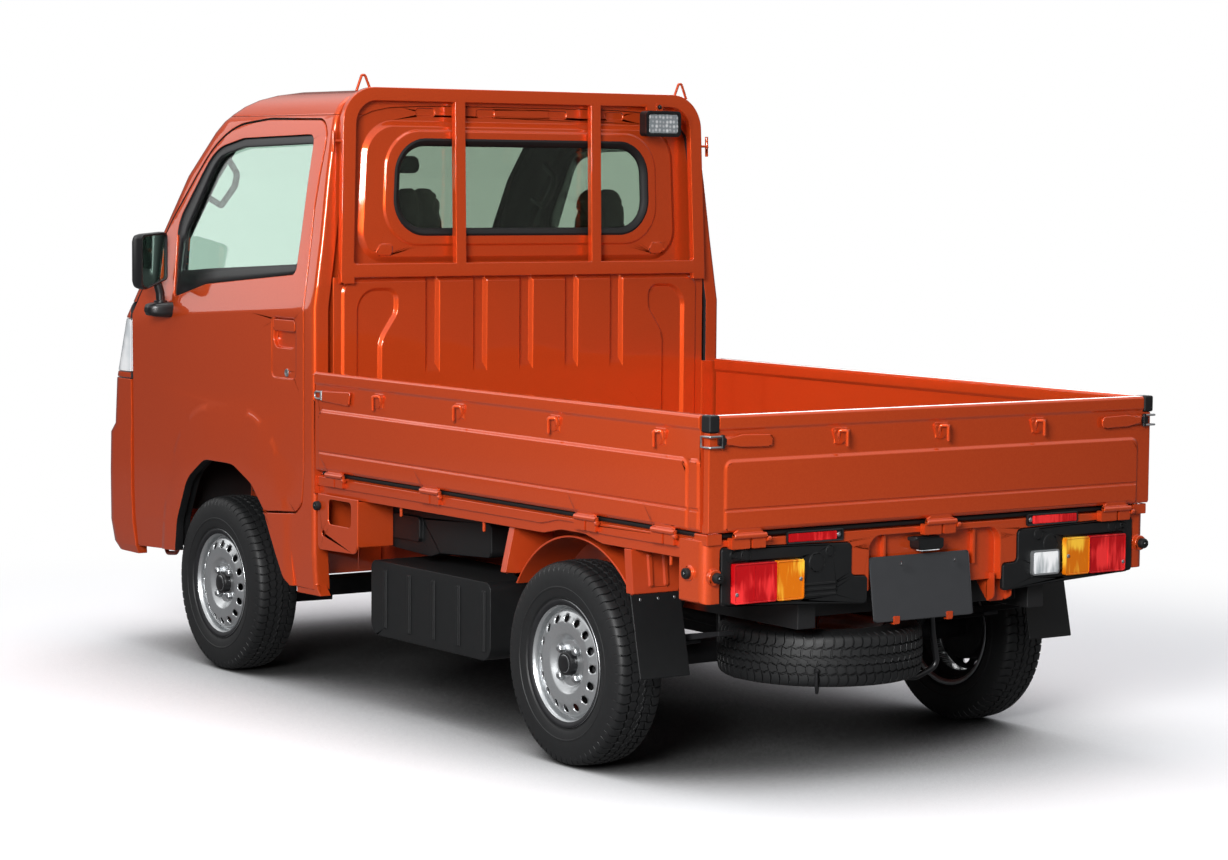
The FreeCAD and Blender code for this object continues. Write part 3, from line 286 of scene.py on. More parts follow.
# Millimetres, from which every form below is given, to the frame's metres.
MM = 0.001
WHEEL_HEIGHT = 268.5
# Each road wheel: its name, its side and its axle's place behind the front axle.
WHEELS = [(f"{end}_{side}", hand, y) for end, y in (("front", 0), ("rear", 1900)) for side, hand in SIDES]


def shade_faces(node, material, rule):
    """Gives the faces that a rule picks out, by centre and normal, a material of their own."""
    node.data.materials.append(material)
    index = len(node.data.materials) - 1
    place = node.matrix_world
    turn = place.to_3x3()
    for face in node.data.polygons:
        if rule(place @ face.center, turn @ face.normal):
            face.material_index = index


def looks_into_cabin(centre, normal):
    """Inner faces of the cab shell."""
    return centre.z > 0.6 and normal.dot((CABIN_MIDDLE - centre).normalized()) > 0.45


def in_front_arch_shade(centre, normal):
    """Faces inside the front wheel arches, which take black plastic as painted shade."""
    across = Vector((0.0, centre.y - AXLE_Y, centre.z - WHEEL_HEIGHT * MM))
    return across.length < 0.5 and abs(centre.x) > 0.25 and normal.dot(across.normalized()) < -0.35


def in_wheel_shade(centre, normal):
    """Faces of a road wheel on the brake's side, which take a dark cast-iron finish as painted shade."""
    return abs(centre.x) > 0.5 and (normal.x * centre.x < -0.12 or (abs(centre.x) < 0.64 and abs(normal.x) < 0.6))


def dress_nodes():
    """Gives every CAD node its finish and softens its pressed edges."""
    for entry in frame["record"]["subparts"]:
        name = entry["node"]
        node = nodes[name]
        node.data.materials.clear()
        node.data.materials.append(FINISH_OF_NODE.get(name) or FINISH_OF_SLOT[entry["material_slot"]])
        if entry["material_slot"] == "glass":
            continue
        weld = node.modifiers.new("weld", "WELD")
        weld.merge_threshold = WELD_DISTANCE
        if name in LINED_NODES:
            shade_faces(node, cab_trim, looks_into_cabin)
            # Faces inside the front wheel arches turn black: painted shade.
            shade_faces(node, moulded_black, in_front_arch_shade)
        if name == "bed_floor":
            # The bed floor's top takes the darker coat: painted shade in the bed.
            shade_faces(node, bed_floor_shade_paint, lambda centre, normal: normal.z > 0.6 and abs(centre.x) < 0.71)
        if name.startswith("rim"):
            # Rim faces on the brake's side take dark cast iron: painted shade.
            shade_faces(node, cast_iron, in_wheel_shade)
        if name.startswith(UNBEVELLED):
            continue
        edge = node.modifiers.new("pressed_edges", "BEVEL")
        edge.width = PRESSED_EDGE
        edge.segments = 2
        edge.limit_method = "ANGLE"
        edge.angle_limit = math.radians(16 if name in ("door_left", "door_right") else 30)
        edge.use_clamp_overlap = False
        node.modifiers.new("soft_shading", "WEIGHTED_NORMAL")


# ---- building forms ----
def station(x, y, z):
    """A place given in millimetres, with y behind the front axle, as metres in the frame."""
    return Vector((x * MM, y * MM + AXLE_Y, z * MM))


def corner_arc(corners, index, step=20, steps=None):
    """Points round one corner by its radius, in a count of steps or in steps of so many degrees."""
    here = Vector(corners[index][:2])
    radius = corners[index][2]
    before = (Vector(corners[index - 1][:2]) - here).normalized()
    after = (Vector(corners[(index + 1) % len(corners)][:2]) - here).normalized()
    half = before.angle(after) / 2
    middle = here + (before + after).normalized() * radius / math.sin(half)
    spoke = here + before * radius / math.tan(half) - middle
    turn = math.copysign(math.pi - 2 * half, before.cross(after))
    steps = steps or max(2, round(abs(math.degrees(turn)) / step))
    arc = []
    for count in range(steps + 1):
        arm = spoke.copy()
        arm.rotate(Matrix.Rotation(-turn * count / steps, 2))
        arc.append(middle + arm)
    return arc


def rounded(corners, step=20):
    """Closed outline in a plane; a corner with a third value is rounded by that radius."""
    points = []
    for index, corner in enumerate(corners):
        points += [Vector(corner)] if len(corner) == 2 else corner_arc(corners, index, step)
    return points


def even_corners(corners):
    """Closed outline with nine points to each rounded corner and eight along each straight."""
    arcs = [corner_arc(corners, index, steps=8) for index in range(len(corners))]
    points = []
    for arc, after in zip(arcs, arcs[1:] + arcs[:1]):
        points += arc + [arc[-1].lerp(after[0], step / 9) for step in range(1, 9)]
    return points


def box_outline(left, low, right, high, radius):
    """Corners of an upright rounded rectangle."""
    return [(left, low, radius), (right, low, radius), (right, high, radius), (left, high, radius)]


def circle(middle, side, up, radius, sides):
    """Places round a middle, in the plane of two unit directions."""
    angles = [2 * math.pi * k / sides for k in range(sides)]
    return [station(*(middle + (side * math.cos(t) + up * math.sin(t)) * radius)) for t in angles]


def bent(points, radius, step=15):
    """Points of a bent bar: each inner corner becomes an arc of the radius."""
    path = [Vector(points[0])]
    for before, here, after in zip(points, points[1:], points[2:]):
        here = Vector(here)
        back = (Vector(before) - here).normalized()
        ahead = (Vector(after) - here).normalized()
        half = back.angle(ahead) / 2
        if half > math.radians(88):
            path.append(here)
            continue
        middle = here + (back + ahead).normalized() * radius / math.sin(half)
        spoke = here + back * radius / math.tan(half) - middle
        normal = back.cross(ahead)
        turn = math.pi - 2 * half
        steps = max(2, round(math.degrees(turn) / step))
        path += [middle + Matrix.Rotation(-turn * count / steps, 3, normal) @ spoke for count in range(steps + 1)]
    return path + [Vector(points[-1])]


PLANES = {
    "x": lambda a, b, depth: (depth, a, b),
    "y": lambda a, b, depth: (a, depth, b),
    "z": lambda a, b, depth: (a, b, depth),
}
ACROSS = Matrix.Scale(-1, 4, (1, 0, 0))
BACK = (0, 1, 0)
UP = (0, 0, 1)


class Piece:
    """Mesh of one named piece, gathered from forms given in millimetres behind the front axle."""

    def __init__(self):
        self.mesh = bmesh.new()

    def skin(self, rings, closed=True, caps=True):
        """Joins equal rings of places; closed rings come back to their start, caps close both ends."""
        rows = [[self.mesh.verts.new(point) for point in ring] for ring in rings]
        faces = []
        for low, high in zip(rows, rows[1:]):
            span = len(low) if closed else len(low) - 1
            for i in range(span):
                j = (i + 1) % len(low)
                faces.append(self.mesh.faces.new((low[i], low[j], high[j], high[i])))
        if caps and closed:
            faces += [self.mesh.faces.new(rows[0]), self.mesh.faces.new(rows[-1])]
        bmesh.ops.recalc_face_normals(self.mesh, faces=faces)
        self.rows = rows
        return self

    def band(self, rings, closed=True):
        """Skin whose last ring comes back to its first."""
        self.skin(rings + [rings[0]], closed, False)
        bmesh.ops.remove_doubles(self.mesh, verts=self.mesh.verts, dist=SEAM_GAP)
        return self

    def slab(self, axis, corners, low, high, edge=0.8):
        """Plate of a rounded outline between two depths along an axis, with softened edges."""
        outline = rounded(corners)
        place = PLANES[axis]
        self.skin([[station(*place(a, b, depth)) for a, b in outline] for depth in (low, high)])
        rims = dict.fromkeys(e for row in self.rows for v in row for e in v.link_edges if e.other_vert(v) in row)
        bmesh.ops.bevel(self.mesh, geom=list(rims), offset=edge * MM, segments=2, affect="EDGES", clamp_overlap=True)
        return self

    def tube(self, points, radius, bend=0.0, sides=14):
        """Round bar through the points, bent at each corner."""
        path = bent(points, bend) if bend else [Vector(point) for point in points]
        rings = []
        side = None
        for index, here in enumerate(path):
            ahead = (path[min(index + 1, len(path) - 1)] - path[max(index - 1, 0)]).normalized()
            if side is None:
                side = ahead.orthogonal()
            side = (side - ahead * side.dot(ahead)).normalized()
            rings.append(circle(here, side, ahead.cross(side), radius, sides))
        return self.skin(rings)

    def turned(self, centre, axis, profile, sides=32):
        """Solid of revolution: profile gives distance along the axis from the centre, and radius."""
        axis = Vector(axis).normalized()
        side = axis.orthogonal().normalized()
        up = axis.cross(side)
        middle = Vector(centre)
        return self.skin([circle(middle + axis * along, side, up, radius, sides) for along, radius in profile])

    def bolt(self, centre, axis, across):
        """Hexagon head with its washer face, proud of a place along an axis."""
        flat = across / 2
        self.turned(centre, axis, [(0, flat * 1.35), (flat * 0.22, flat * 1.3)], 24)
        return self.turned(centre, axis, [(0, flat), (flat * 0.95, flat), (flat * 1.15, flat * 0.8)], 6)

    def frame(self, outer, inner, low, high):
        """Flat frame between two upright rounded outlines of equal corner counts, open at its back."""
        outside = rounded(outer)
        inside = rounded(inner)
        between = [(a * 0.5 + c * 0.5, b * 0.5 + d * 0.5) for (a, b), (c, d) in zip(outside, inside)]
        steps = ((outside, low), (outside, high - 0.8), (between, high), (inside, high - 0.8), (inside, low))
        return self.skin([[station(a, depth, b) for a, b in outline] for outline, depth in steps], caps=False)

    def move(self, matrix):
        """Moves all that is gathered so far."""
        bmesh.ops.transform(self.mesh, matrix=matrix, verts=self.mesh.verts[:])
        return self

    def on_side(self, hand):
        """The piece itself on the left, or its mirror image, whose faces keep their order, on the right."""
        return self if hand > 0 else self.move(ACROSS)

    def save(self, name, material, body="body", replaces=(), crease=35):
        """Makes the object, rides it on its body and keeps edges sharp over the crease angle."""
        mesh = bpy.data.meshes.new(name)
        self.mesh.to_mesh(mesh)
        self.mesh.free()
        mesh.materials.append(material)
        mesh.polygons.foreach_set("use_smooth", [True] * len(mesh.polygons))
        mesh.set_sharp_from_angle(angle=math.radians(crease))
        piece = link_object(name, mesh)
        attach(piece, body)
        if replaces:
            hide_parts(*replaces)


# ---- tyres ----
TYRE_RADIUS = 268.0
PITCHES = 66
# One pitch of the tread: share of the pitch, and share of the cross cut's depth there.
PITCH_ROWS = [(0.0, 0.0), (0.04, 1.0), (0.16, 1.0), (0.2, 0.0), (0.47, 0.0), (0.74, 0.0)]
# From the middle out: half width and radius of the skin, depth of the long groove, of the cross cut, share of zigzag.
TREAD = [
    (0, 268, 0, 1.6, 0), (8.5, 267.9, 0, 1.6, 1), (9.6, 267.8, 7, 7, 1), (12.6, 267.7, 7, 7, 1),
    (13.7, 267.6, 0, 3.2, 1), (22, 267.2, 0, 3.2, 0.4), (30.5, 266.6, 0, 3.2, 1), (31.6, 266.5, 7, 7, 1),
    (35, 266.2, 7, 7, 1), (36.1, 266.1, 0, 5.5, 1), (43, 265.4, 0, 5.5, 0.3), (50, 264.2, 0, 5.5, 0),
    (56.5, 262.2, 0, 5, 0), (61.5, 259, 0, 4.2, 0), (65.2, 254, 0, 3.4, 0), (67.4, 247.5, 0, 2.4, 0),
]
# Side wall and bead, uncut: half width and radius.
TREAD += [(half, radius, 0, 0, 0) for half, radius in (
    (68.8, 241), (70.4, 232), (71.6, 222), (72.2, 212), (72, 202), (72.9, 200.5), (72.7, 197.5), (71.2, 196),
    (69.6, 186), (67.4, 177), (66.4, 174.5), (62.5, 171.5), (60.5, 160), (50, 156))]
ZIGZAG = 2.4
TREAD_CREASE = 28


def sweep_of_cut(x):
    """How far a cross cut leans along the tread at a distance from the middle."""
    reach = min(abs(x), 68.0)
    return 5.5 * math.sin(reach * math.pi / 34.0) + 0.09 * reach


def tyre_piece():
    """Rib tyre on the x axis: zigzag long grooves, curved cross cuts and ringed side walls."""
    section = [(-x, *rest) for x, *rest in reversed(TREAD[1:])] + TREAD
    rings = []
    for pitch in range(PITCHES):
        for share, cut in PITCH_ROWS:
            ring = []
            for x, radius, groove, cross, zigzag in section:
                phase = pitch + share + (0.5 if x < 0 else 0.0)
                wave = ZIGZAG * zigzag * math.sin(2 * math.pi * (pitch + share)) * (1 if abs(x) < 20 else -1)
                depth = max(groove, cross * cut)
                inward = min(1.0, max(0.0, (abs(x) - 55.0) / 14.0))
                level = radius - depth * (1 - inward)
                place = x + wave - math.copysign(depth * inward, x)
                turn = 2 * math.pi * (phase / PITCHES) + sweep_of_cut(x) / TYRE_RADIUS
                ring.append(Vector((place, level * math.cos(turn), level * math.sin(turn))) * MM)
            rings.append(ring)
    return Piece().band(rings, closed=False)


def make_tyres():
    """Four road tyres and the spare under the tail."""
    for wheel, hand, y in WHEELS:
        low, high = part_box(f"tyre_{wheel}")
        centre = (Vector(low) + Vector(high)) / 2
        turn = Matrix.Rotation(0.0 if hand > 0 else math.pi, 4, "Z")
        piece = tyre_piece().move(Matrix.Translation(centre) @ turn)
        piece.save(f"treaded_tyre_{wheel}", tyre_rubber, f"wheel_{wheel}", [f"tyre_{wheel}"], TREAD_CREASE)
    low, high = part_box("spare_tyre")
    centre = (Vector(low) + Vector(high)) / 2
    piece = tyre_piece().move(Matrix.Translation(centre) @ Matrix.Rotation(math.pi / 2, 4, "Y"))
    piece.save("treaded_spare_tyre", tyre_rubber, "body", ["spare_tyre"], TREAD_CREASE)


# ---- glass seals ----
def skin_of(*names):
    """Skins of the nodes in one mesh, in the frame's metres."""
    mesh = bmesh.new()
    for name in names:
        part = nodes[name].data.copy()
        part.transform(nodes[name].matrix_world)
        mesh.from_mesh(part)
        bpy.data.meshes.remove(part)
    return mesh


def surface_of(*names):
    """Finds where a line meets any of the nodes' skins."""
    mesh = skin_of(*names)
    tree = BVHTree.FromBMesh(mesh)
    mesh.free()
    return tree


def rim_of(name, outward):
    """Ordered rim of a pane's outer face, as places with the face's normals, in metres."""
    mesh = skin_of(name)
    bmesh.ops.remove_doubles(mesh, verts=mesh.verts, dist=WELD_DISTANCE)
    outer = {face for face in mesh.faces if face.normal.dot(Vector(outward)) > 0.35}
    rim = [edge for edge in mesh.edges if sum(face in outer for face in edge.link_faces) == 1]
    links = {}
    for edge in rim:
        for vert in edge.verts:
            links.setdefault(vert, []).append(edge.other_vert(vert))
    loop = [rim[0].verts[0]]
    before = None
    while len(loop) <= len(rim):
        here = loop[-1]
        ahead = next(vert for vert in links[here] if vert is not before)
        if ahead is loop[0]:
            break
        loop.append(ahead)
        before = here
    result = []
    for vert in loop:
        normal = sum((face.normal for face in vert.link_faces if face in outer), Vector())
        result.append((vert.co.copy(), normal.normalized()))
    mesh.free()
    return result


def seal(name, pane, outward, section, material, body):
    """Extrusion along a pane's rim; section gives millimetres inward from the rim and out of the face."""
    loop = rim_of(pane, outward)
    middle = sum((place for place, normal in loop), Vector()) / len(loop)
    rings = []
    for index, (place, normal) in enumerate(loop):
        ahead = (loop[(index + 1) % len(loop)][0] - loop[index - 1][0]).normalized()
        inward = normal.cross(ahead).normalized()
        if inward.dot(middle - place) < 0:
            inward.negate()
        rings.append([place + inward * a * MM + normal * out * MM for a, out in section])
    Piece().band(rings).save(name, material, body)


# Metres from the middle at which a line towards the glass starts.
OUTSIDE = 1.2
# Corners of the frame round a door glass, outside and inside: place along, height, radius.
GARNISH_OUTER = [(-285, 1141, 12), (-80, 1188, 200), (477, 1234, 24), (492, 1639.5, 24), (60, 1629.5, 200),
                 (-114, 1597.5, 178), (-303, 1371.5, 118)]
GARNISH_INNER = [(-256, 1221, 8), (-80, 1233, 200), (474, 1262, 14), (487, 1614, 14), (60, 1604, 200),
                 (-92, 1577, 140), (-252, 1344, 60)]
# Its section: share of the way from the outer line to the inner, and height over the glass.
GARNISH_SECTION = [(0, 1), (0, 13), (0.12, 14.5), (0.4, 14.5), (0.7, 14.5), (0.9, 13.5), (1, 11), (1, 1)]


def make_window_garnish():
    """Black frame round each door glass, broad under it and ahead of it where the mirror stands."""
    lines = list(zip(even_corners(GARNISH_OUTER), even_corners(GARNISH_INNER)))
    for side, hand in SIDES:
        pane = surface_of(f"door_glass_{side}")
        loops = []
        for part, lift in GARNISH_SECTION:
            loop = []
            for outer, inner in lines:
                y, z = outer.lerp(inner, part)
                start = Vector((hand * OUTSIDE, y * MM + AXLE_Y, z * MM))
                hit = pane.ray_cast(start, Vector((-hand, 0, 0)))[0]
                loop.append(Vector((hit.x + hand * lift * MM, start.y, start.z)))
            loops.append(loop)
        Piece().skin(loops, caps=False).save(f"window_garnish_{side}", satin_black, f"door_{side}")


def make_seals():
    """Rubber channels round the door glasses, rear window and windscreen."""
    channel = [(-7, -3), (-8, 3.2), (-6.5, 4.6), (-2, 5), (4, 3.4), (10, 1.6), (11, 0.3), (9, -1)]
    for side, hand in SIDES:
        seal(f"door_glass_channel_{side}", f"door_glass_{side}", (hand, 0, 0), channel, rubber, f"door_{side}")
    gasket = [(-9, -4), (-10, 10), (-8, 14), (-2, 16), (6, 13), (13, 7), (15, 2), (13, -1)]
    seal("rear_window_gasket", "rear_window", (0, 1, 0), gasket, rubber, "body")
    frit = [(-6, -3), (-7, 1.6), (-5, 2.6), (0, 2.2), (24, 0.9), (25, 0.3), (22, -0.5)]
    seal("windscreen_border", "windscreen", (0, -0.7, 0.7), frit, rubber, "body")


# ---- rear lamps and trim ----
LENS_FACE = 2546.0
# Profiles of turned fittings: distance along the axis, and radius.
LAMP_SCREW = [(0, 5), (2.2, 5), (3.4, 3.4), (3.4, 1.4), (2.4, 1.2)]
REFLECTOR_SCREW = [(0, 6), (3, 6), (4.4, 4.2), (4.4, 1.6), (3.2, 1.4)]
BUFFER = [(0, 11), (2, 13.4), (14, 13.4), (17, 12), (18.4, 9.5), (18.4, 6.2), (15, 5.6)]
KEY_CYLINDER = [(0, 12), (1.6, 12), (2.6, 11), (2.6, 8.6), (1.4, 8.2), (1.4, 2), (1.0, 0.4)]
LAMP_CUP = [(0, 2.6), (0.2, 4.0), (3.4, 9.0), (3.4, 9.6), (0, 9.8)]
HINGE_PIN = [(0, 5), (1, 6.5), (10, 6.5), (11, 5)]
RIVET = [(0, 4.6), (1.2, 4.4), (2.0, 3), (2.2, 1)]
HUB_CAP = [(0, 40), (2.4, 40), (3.6, 38.6), (3.6, 33.4), (19, 32), (23, 30), (24.6, 26), (24.6, 22.4), (27.6, 21.2),
           (28.8, 18), (28.8, 3)]


def make_tail_lamps():
    """Combination lamps: bright pan, red and amber lenses in coloured bezels, and two screws; reverse lamp."""
    for side, hand in SIDES:
        pan = Piece().slab("y", box_outline(438, 495, 650, 589, 5), 2530.6, 2533)
        pan.on_side(hand).save(f"tail_lamp_pan_{side}", bright_pan, replaces=["tail_lamps"])
        red = Piece().slab("y", box_outline(524.5, 497, 648, 587, 3), 2538, LENS_FACE - 1)
        red.slab("y", box_outline(588, 499, 592, 585, 1), LENS_FACE - 1.4, LENS_FACE - 0.2, 0.4)
        red.on_side(hand).save(f"stop_lamp_lens_{side}", red_lens)
        amber = Piece().slab("y", box_outline(441, 497, 520.5, 587, 3), 2538, LENS_FACE - 1)
        amber.on_side(hand).save(f"turn_lamp_lens_{side}", amber_lens)
        for lamp, outer, inner, material in (("turn", (436, 520.5), (441, 519.5), amber_lens),
                                             ("stop", (521, 652.5), (525, 648), red_lens)):
            bezel = Piece().frame(box_outline(outer[0], 492.5, outer[1], 591.5, 6),
                                  box_outline(inner[0], 497, inner[1], 587, 3), 2531, LENS_FACE + 1)
            bezel.on_side(hand).save(f"{lamp}_lamp_bezel_{side}", material)
        screws = Piece()
        for x, z in ((446, 543), (644, 516)):
            screws.turned((x, LENS_FACE - 2, z), BACK, LAMP_SCREW, 20)
        screws.on_side(hand).save(f"tail_lamp_screws_{side}", zinc_steel)
    Piece().slab("y", box_outline(-414, 501, -323, 562, 6), 2535.5, 2538).save("reverse_lamp_pan", bright_pan)
    Piece().slab("y", box_outline(-412, 503, -325, 560, 5), 2540, 2545).save("reverse_lamp_lens", clear_lens)
    bezel = Piece().frame(box_outline(-416, 499, -321, 564, 8), box_outline(-411, 504, -326, 559, 5), 2535.5, 2545.6)
    bezel.save("reverse_lamp_bezel", wheel_silver)


def make_reflectors():
    """Long red reflectors over the lamp panels, each in a black tray with one screw."""
    tray, glow, screw = Piece(), Piece(), Piece()
    # Left edge of each tray and, from it, both ends of the reflector and the screw.
    for left, start, end, hole in ((306, 22, 174, 14), (-485, 5, 157, 165)):
        tray.frame(box_outline(left, 629, left + 179, 660, 6), box_outline(left + 4, 633, left + 175, 656, 3),
                   2531.5, 2538)
        tray.slab("y", box_outline(left + 3, 632, left + 176, 657, 3), 2531.5, 2533.5)
        glow.slab("y", box_outline(left + start, 634, left + end, 655, 3), 2532, 2539, 1.2)
        screw.turned((left + hole, 2533, 645), BACK, REFLECTOR_SCREW, 20)
    tray.save("reflector_trays", satin_black)
    glow.save("red_reflectors", red_lens)
    screw.save("reflector_screws", zinc_steel)


def make_plate_fittings():
    """Number-plate lamp over the plate, the two painted clips at its foot and its bolts."""
    lamp = Piece()
    lamp.slab("y", [(-14, 596, 6), (-8, 590, 6), (62, 590, 6), (68, 596, 6), (68, 618, 5), (-14, 618, 5)],
              2508, 2548, 2)
    lamp.slab("z", [(-20, 2508), (74, 2508), (66, 2536, 8), (-12, 2536, 8)], 612, 622, 1)
    lamp.save("plate_lamp_housing", moulded_black)
    Piece().slab("z", box_outline(-4, 2522, 58, 2545, 4), 587, 590.4).save("plate_lamp_lens", clear_lens)
    clip = Piece()
    for x in (141, -35):
        clip.slab("y", box_outline(x - 10, 409, x + 10, 428, 3), 2546.8, 2551.2)
        clip.slab("z", box_outline(x - 9, 2536, x + 9, 2551, 2), 407.5, 411, 0.6)
    clip.save("plate_clips", paint)
    bolts = Piece()
    for x in (-35, 141):
        bolts.bolt((x, 2564.5, 562), (0, 0.99, 0.14), 9)
    bolts.save("plate_bolts", plate_enamel)


def make_stops():
    """Moulded rubber buffers at the bed's corners with their bolts."""
    buffer, bolt = Piece(), Piece()
    for side, hand in SIDES:
        out = (hand, 0, 0)
        # Foot of each buffer, its axis, how far it is stretched, and the bolt's height.
        for x, y, z, axis, stretch, height in ((740, 2474, 568, out, 0.72, 10), (708, 2545, 562, BACK, 1, 14),
                                               (733, 650, 568, out, 0.9, 13)):
            foot = Vector((hand * x, y, z))
            buffer.turned(foot, axis, [(along * stretch, radius) for along, radius in BUFFER])
            bolt.bolt(foot + Vector(axis) * height, axis, 9)
    buffer.save("corner_buffers", rubber, replaces=["gate_stops"])
    bolt.save("buffer_bolts", satin_black)


def make_latches():
    """Wire loops and pivots that pull the gates' levers to their catches."""
    tail_route = [(700, 2557, 880), (738, 2557, 880), (742, 2551, 880), (742, 2526, 880), (742, 2526, 906),
                  (742, 2551, 906), (738, 2557, 906), (700, 2557, 906)]
    side_route = [(741, 676, 880), (743, 650, 880), (741, 638, 884),
                  (741, 638, 896), (743, 650, 900), (741, 676, 900)]
    for side, hand in SIDES:
        loop = Piece().tube([(hand * x, y, z) for x, y, z in tail_route], 2.8, sides=10)
        loop.save(f"tail_latch_loop_{side}", zinc_steel, "tailgate")
        pivot = Piece().turned((hand * 700, 2556.5, 876), UP, [(0, 3.4), (1, 5.6), (33, 5.6), (34, 3.4)], 20)
        pivot.slab("y", box_outline(hand * 701 - 11, 884, hand * 701 + 11, 902, 3), 2550, 2560, 1)
        pivot.save(f"tail_latch_pivot_{side}", satin_black, "tailgate")
        loop = Piece().tube([(hand * x, y, z) for x, y, z in side_route], 2.8, 4, 10)
        loop.turned((hand * 741, 676, 876), UP, [(0, 3), (1, 5), (27, 5), (28, 3)], 20)
        loop.save(f"side_latch_loop_{side}", zinc_steel, f"side_gate_{side}")


def make_spare_carrier():
    """Bar that holds the spare up under the tail, its hook, and the brackets it hangs from."""
    bar = Piece()
    bar.tube([(-72, 2428, 470), (-98, 2410, 352), (-122, 2404, 262), (-60, 2392, 234), (150, 2250, 231),
              (330, 2110, 234), (352, 2090, 300), (352, 2080, 440)], 8, 26)
    bar.tube([(150, 2250, 231), (318, 2452, 234), (327, 2462, 252), (327, 2462, 292)], 4.5, 8)
    bar.turned((327, 2462, 286), UP, [(0, 3), (3, 7), (8, 8), (12, 5), (13, 1)], 16)
    bar.save("spare_wheel_carrier", satin_black)
    hanger = Piece()
    hanger.slab("y", [(202, 437), (255, 437), (250, 372, 10), (236, 361, 6), (216, 361, 6), (206, 372, 10)],
                2300, 2304)
    for x in (200, 252):
        hanger.slab("x", [(2290, 470), (2340, 470), (2304, 372, 8), (2290, 372, 4)], x, x + 4)
    hanger.slab("y", [(-267, 512), (-204, 512), (-204, 442, 8), (-212, 435, 6), (-259, 435, 6), (-267, 442, 8)],
                2496, 2500)
    for x in (-267, -208):
        hanger.slab("x", [(2440, 512), (2526, 512), (2526, 448, 12), (2500, 436, 8), (2470, 470, 20)], x, x + 4)
    hanger.save("spare_hanger_brackets", frame_paint)
    bolts = Piece().bolt((228, 2304, 388), BACK, 12)
    bolts.bolt((236, 2500, 478), BACK, 10)
    bolts.save("hanger_bolts", zinc_steel)


def make_door_keys():
    """Key cylinders under the door handles."""
    for side, hand in SIDES:
        key = Piece().turned((hand * 730, 452, 942), (hand, 0, 0), KEY_CYLINDER)
        key.save(f"door_key_cylinder_{side}", zinc_steel, f"door_{side}")


def make_tie_hooks():
    """Bent hooks under the nose, for tying the truck down."""
    hooks = Piece()
    for side, hand in SIDES:
        hooks.tube([(hand * 560, y, z) for y, z in ((-560, 330), (-600, 290), (-660, 284), (-680, 316))], 7, 14)
    hooks.save("front_tie_hooks", frame_paint)


def make_flap_fixings():
    """Screws and washers that hold the mud flaps to their hangers."""
    screws = Piece()
    for side, hand in SIDES:
        for x in (594, 645, 700):
            screws.bolt((hand * x, 2214.5, 470), (0, 0.97, 0.22), 9)
    screws.save("mud_flap_screws", zinc_steel)


def make_work_lamp_lens():
    """Array of bright cups behind a clear lens, with the lamp's bezel, tab and bolt."""
    cups = Piece()
    for column in range(4):
        for row in range(3):
            cups.turned((-426.5 - 26.0 * column, 687, 1670.0 + 18.5 * row), BACK, LAMP_CUP, 20)
    cups.save("work_lamp_cups", bright_pan)
    Piece().slab("y", box_outline(-507, 1660, -398, 1717, 7), 691, 693.6).save("work_lamp_lens", led_lens)
    bezel = Piece().frame(box_outline(-518, 1649, -387, 1728, 13), box_outline(-508, 1659, -397, 1718, 8), 686, 695)
    bezel.save("work_lamp_bezel", satin_black)
    tab = Piece().slab("y", [(-466, 1724), (-438, 1724), (-438, 1752, 8), (-466, 1752, 8)], 668, 671)
    tab.save("work_lamp_tab", paint)
    Piece().bolt((-452, 671, 1740), BACK, 11).save("work_lamp_bolt", satin_black)


# Door mirror: its turn about the upright, the glass's corners, and the glass's middle and half size.
MIRROR_TURN = math.radians(17.9)
MIRROR_PLACE = (739, -324, 0)
MIRROR_OUTLINE = [(0, 1197, 14), (99, 1163, 18), (99, 1326, 16), (0, 1333, 14)]
MIRROR_MIDDLE = (49.5, 1248)
MIRROR_HALF = (49.5, 85)
# Sections of its shell: depth, and how far they spread past the glass.
MIRROR_SHELL = [(2, -1), (9, 0.5), (11, 3), (9.5, 7), (2, 9), (-14, 9), (-32, 5), (-44, -4), (-51, -18), (-54, -34)]
# Sections of its foot: distance out, front, back, low and high edge.
MIRROR_FOOT = [(702, -366, -276, 1074, 1122), (742, -362, -282, 1074, 1122), (776, -356, -292, 1076, 1120),
               (794, -348, -302, 1081, 1115), (801, -338, -314, 1090, 1106)]


def make_door_mirrors():
    """Door mirrors: a rounded shell with its glass set in a lip, a bent stem and a foot on the door."""
    swing = Matrix.Rotation(MIRROR_TURN, 4, "Z")
    place = Matrix.Translation(station(*MIRROR_PLACE)) @ swing @ Matrix.Translation(-station(0, 0, 0))
    middle_x, middle_z = MIRROR_MIDDLE
    for side, hand in SIDES:
        glass = Piece().slab("y", MIRROR_OUTLINE, 0.5, 4).move(place)
        rings = []
        for depth, spread in MIRROR_SHELL:
            wide, tall = [1 + spread / half for half in MIRROR_HALF]
            rings.append([station(middle_x + (x - middle_x) * wide, depth, middle_z + (z - middle_z) * tall)
                          for x, z in rounded(MIRROR_OUTLINE, 12)])
        shell = Piece().skin(rings).move(place)
        rings = []
        for out, front, back, low, high in MIRROR_FOOT:
            outline = rounded(box_outline(front, low, back, high, (high - low) * 0.34), 12)
            rings.append([station(out, y, z) for y, z in outline])
        foot = Piece().skin(rings)
        stem = Piece().tube([(752, -322, 1096), (753, -323, 1150), (766, -326, 1196), (772, -328, 1230)], 14, 30)
        stem.turned((752, -322, 1118), UP, [(0, 21), (7, 21), (9, 19), (9, 12)], 28)
        door = f"door_{side}"
        glass.on_side(hand).save(f"mirror_glass_{side}", mirror_glass, door)
        shell.on_side(hand).save(f"mirror_shell_{side}", satin_black, door, [f"door_mirror_{side}"])
        foot.on_side(hand).save(f"mirror_foot_{side}", satin_black, door)
        stem.on_side(hand).save(f"mirror_stem_{side}", satin_black, door)


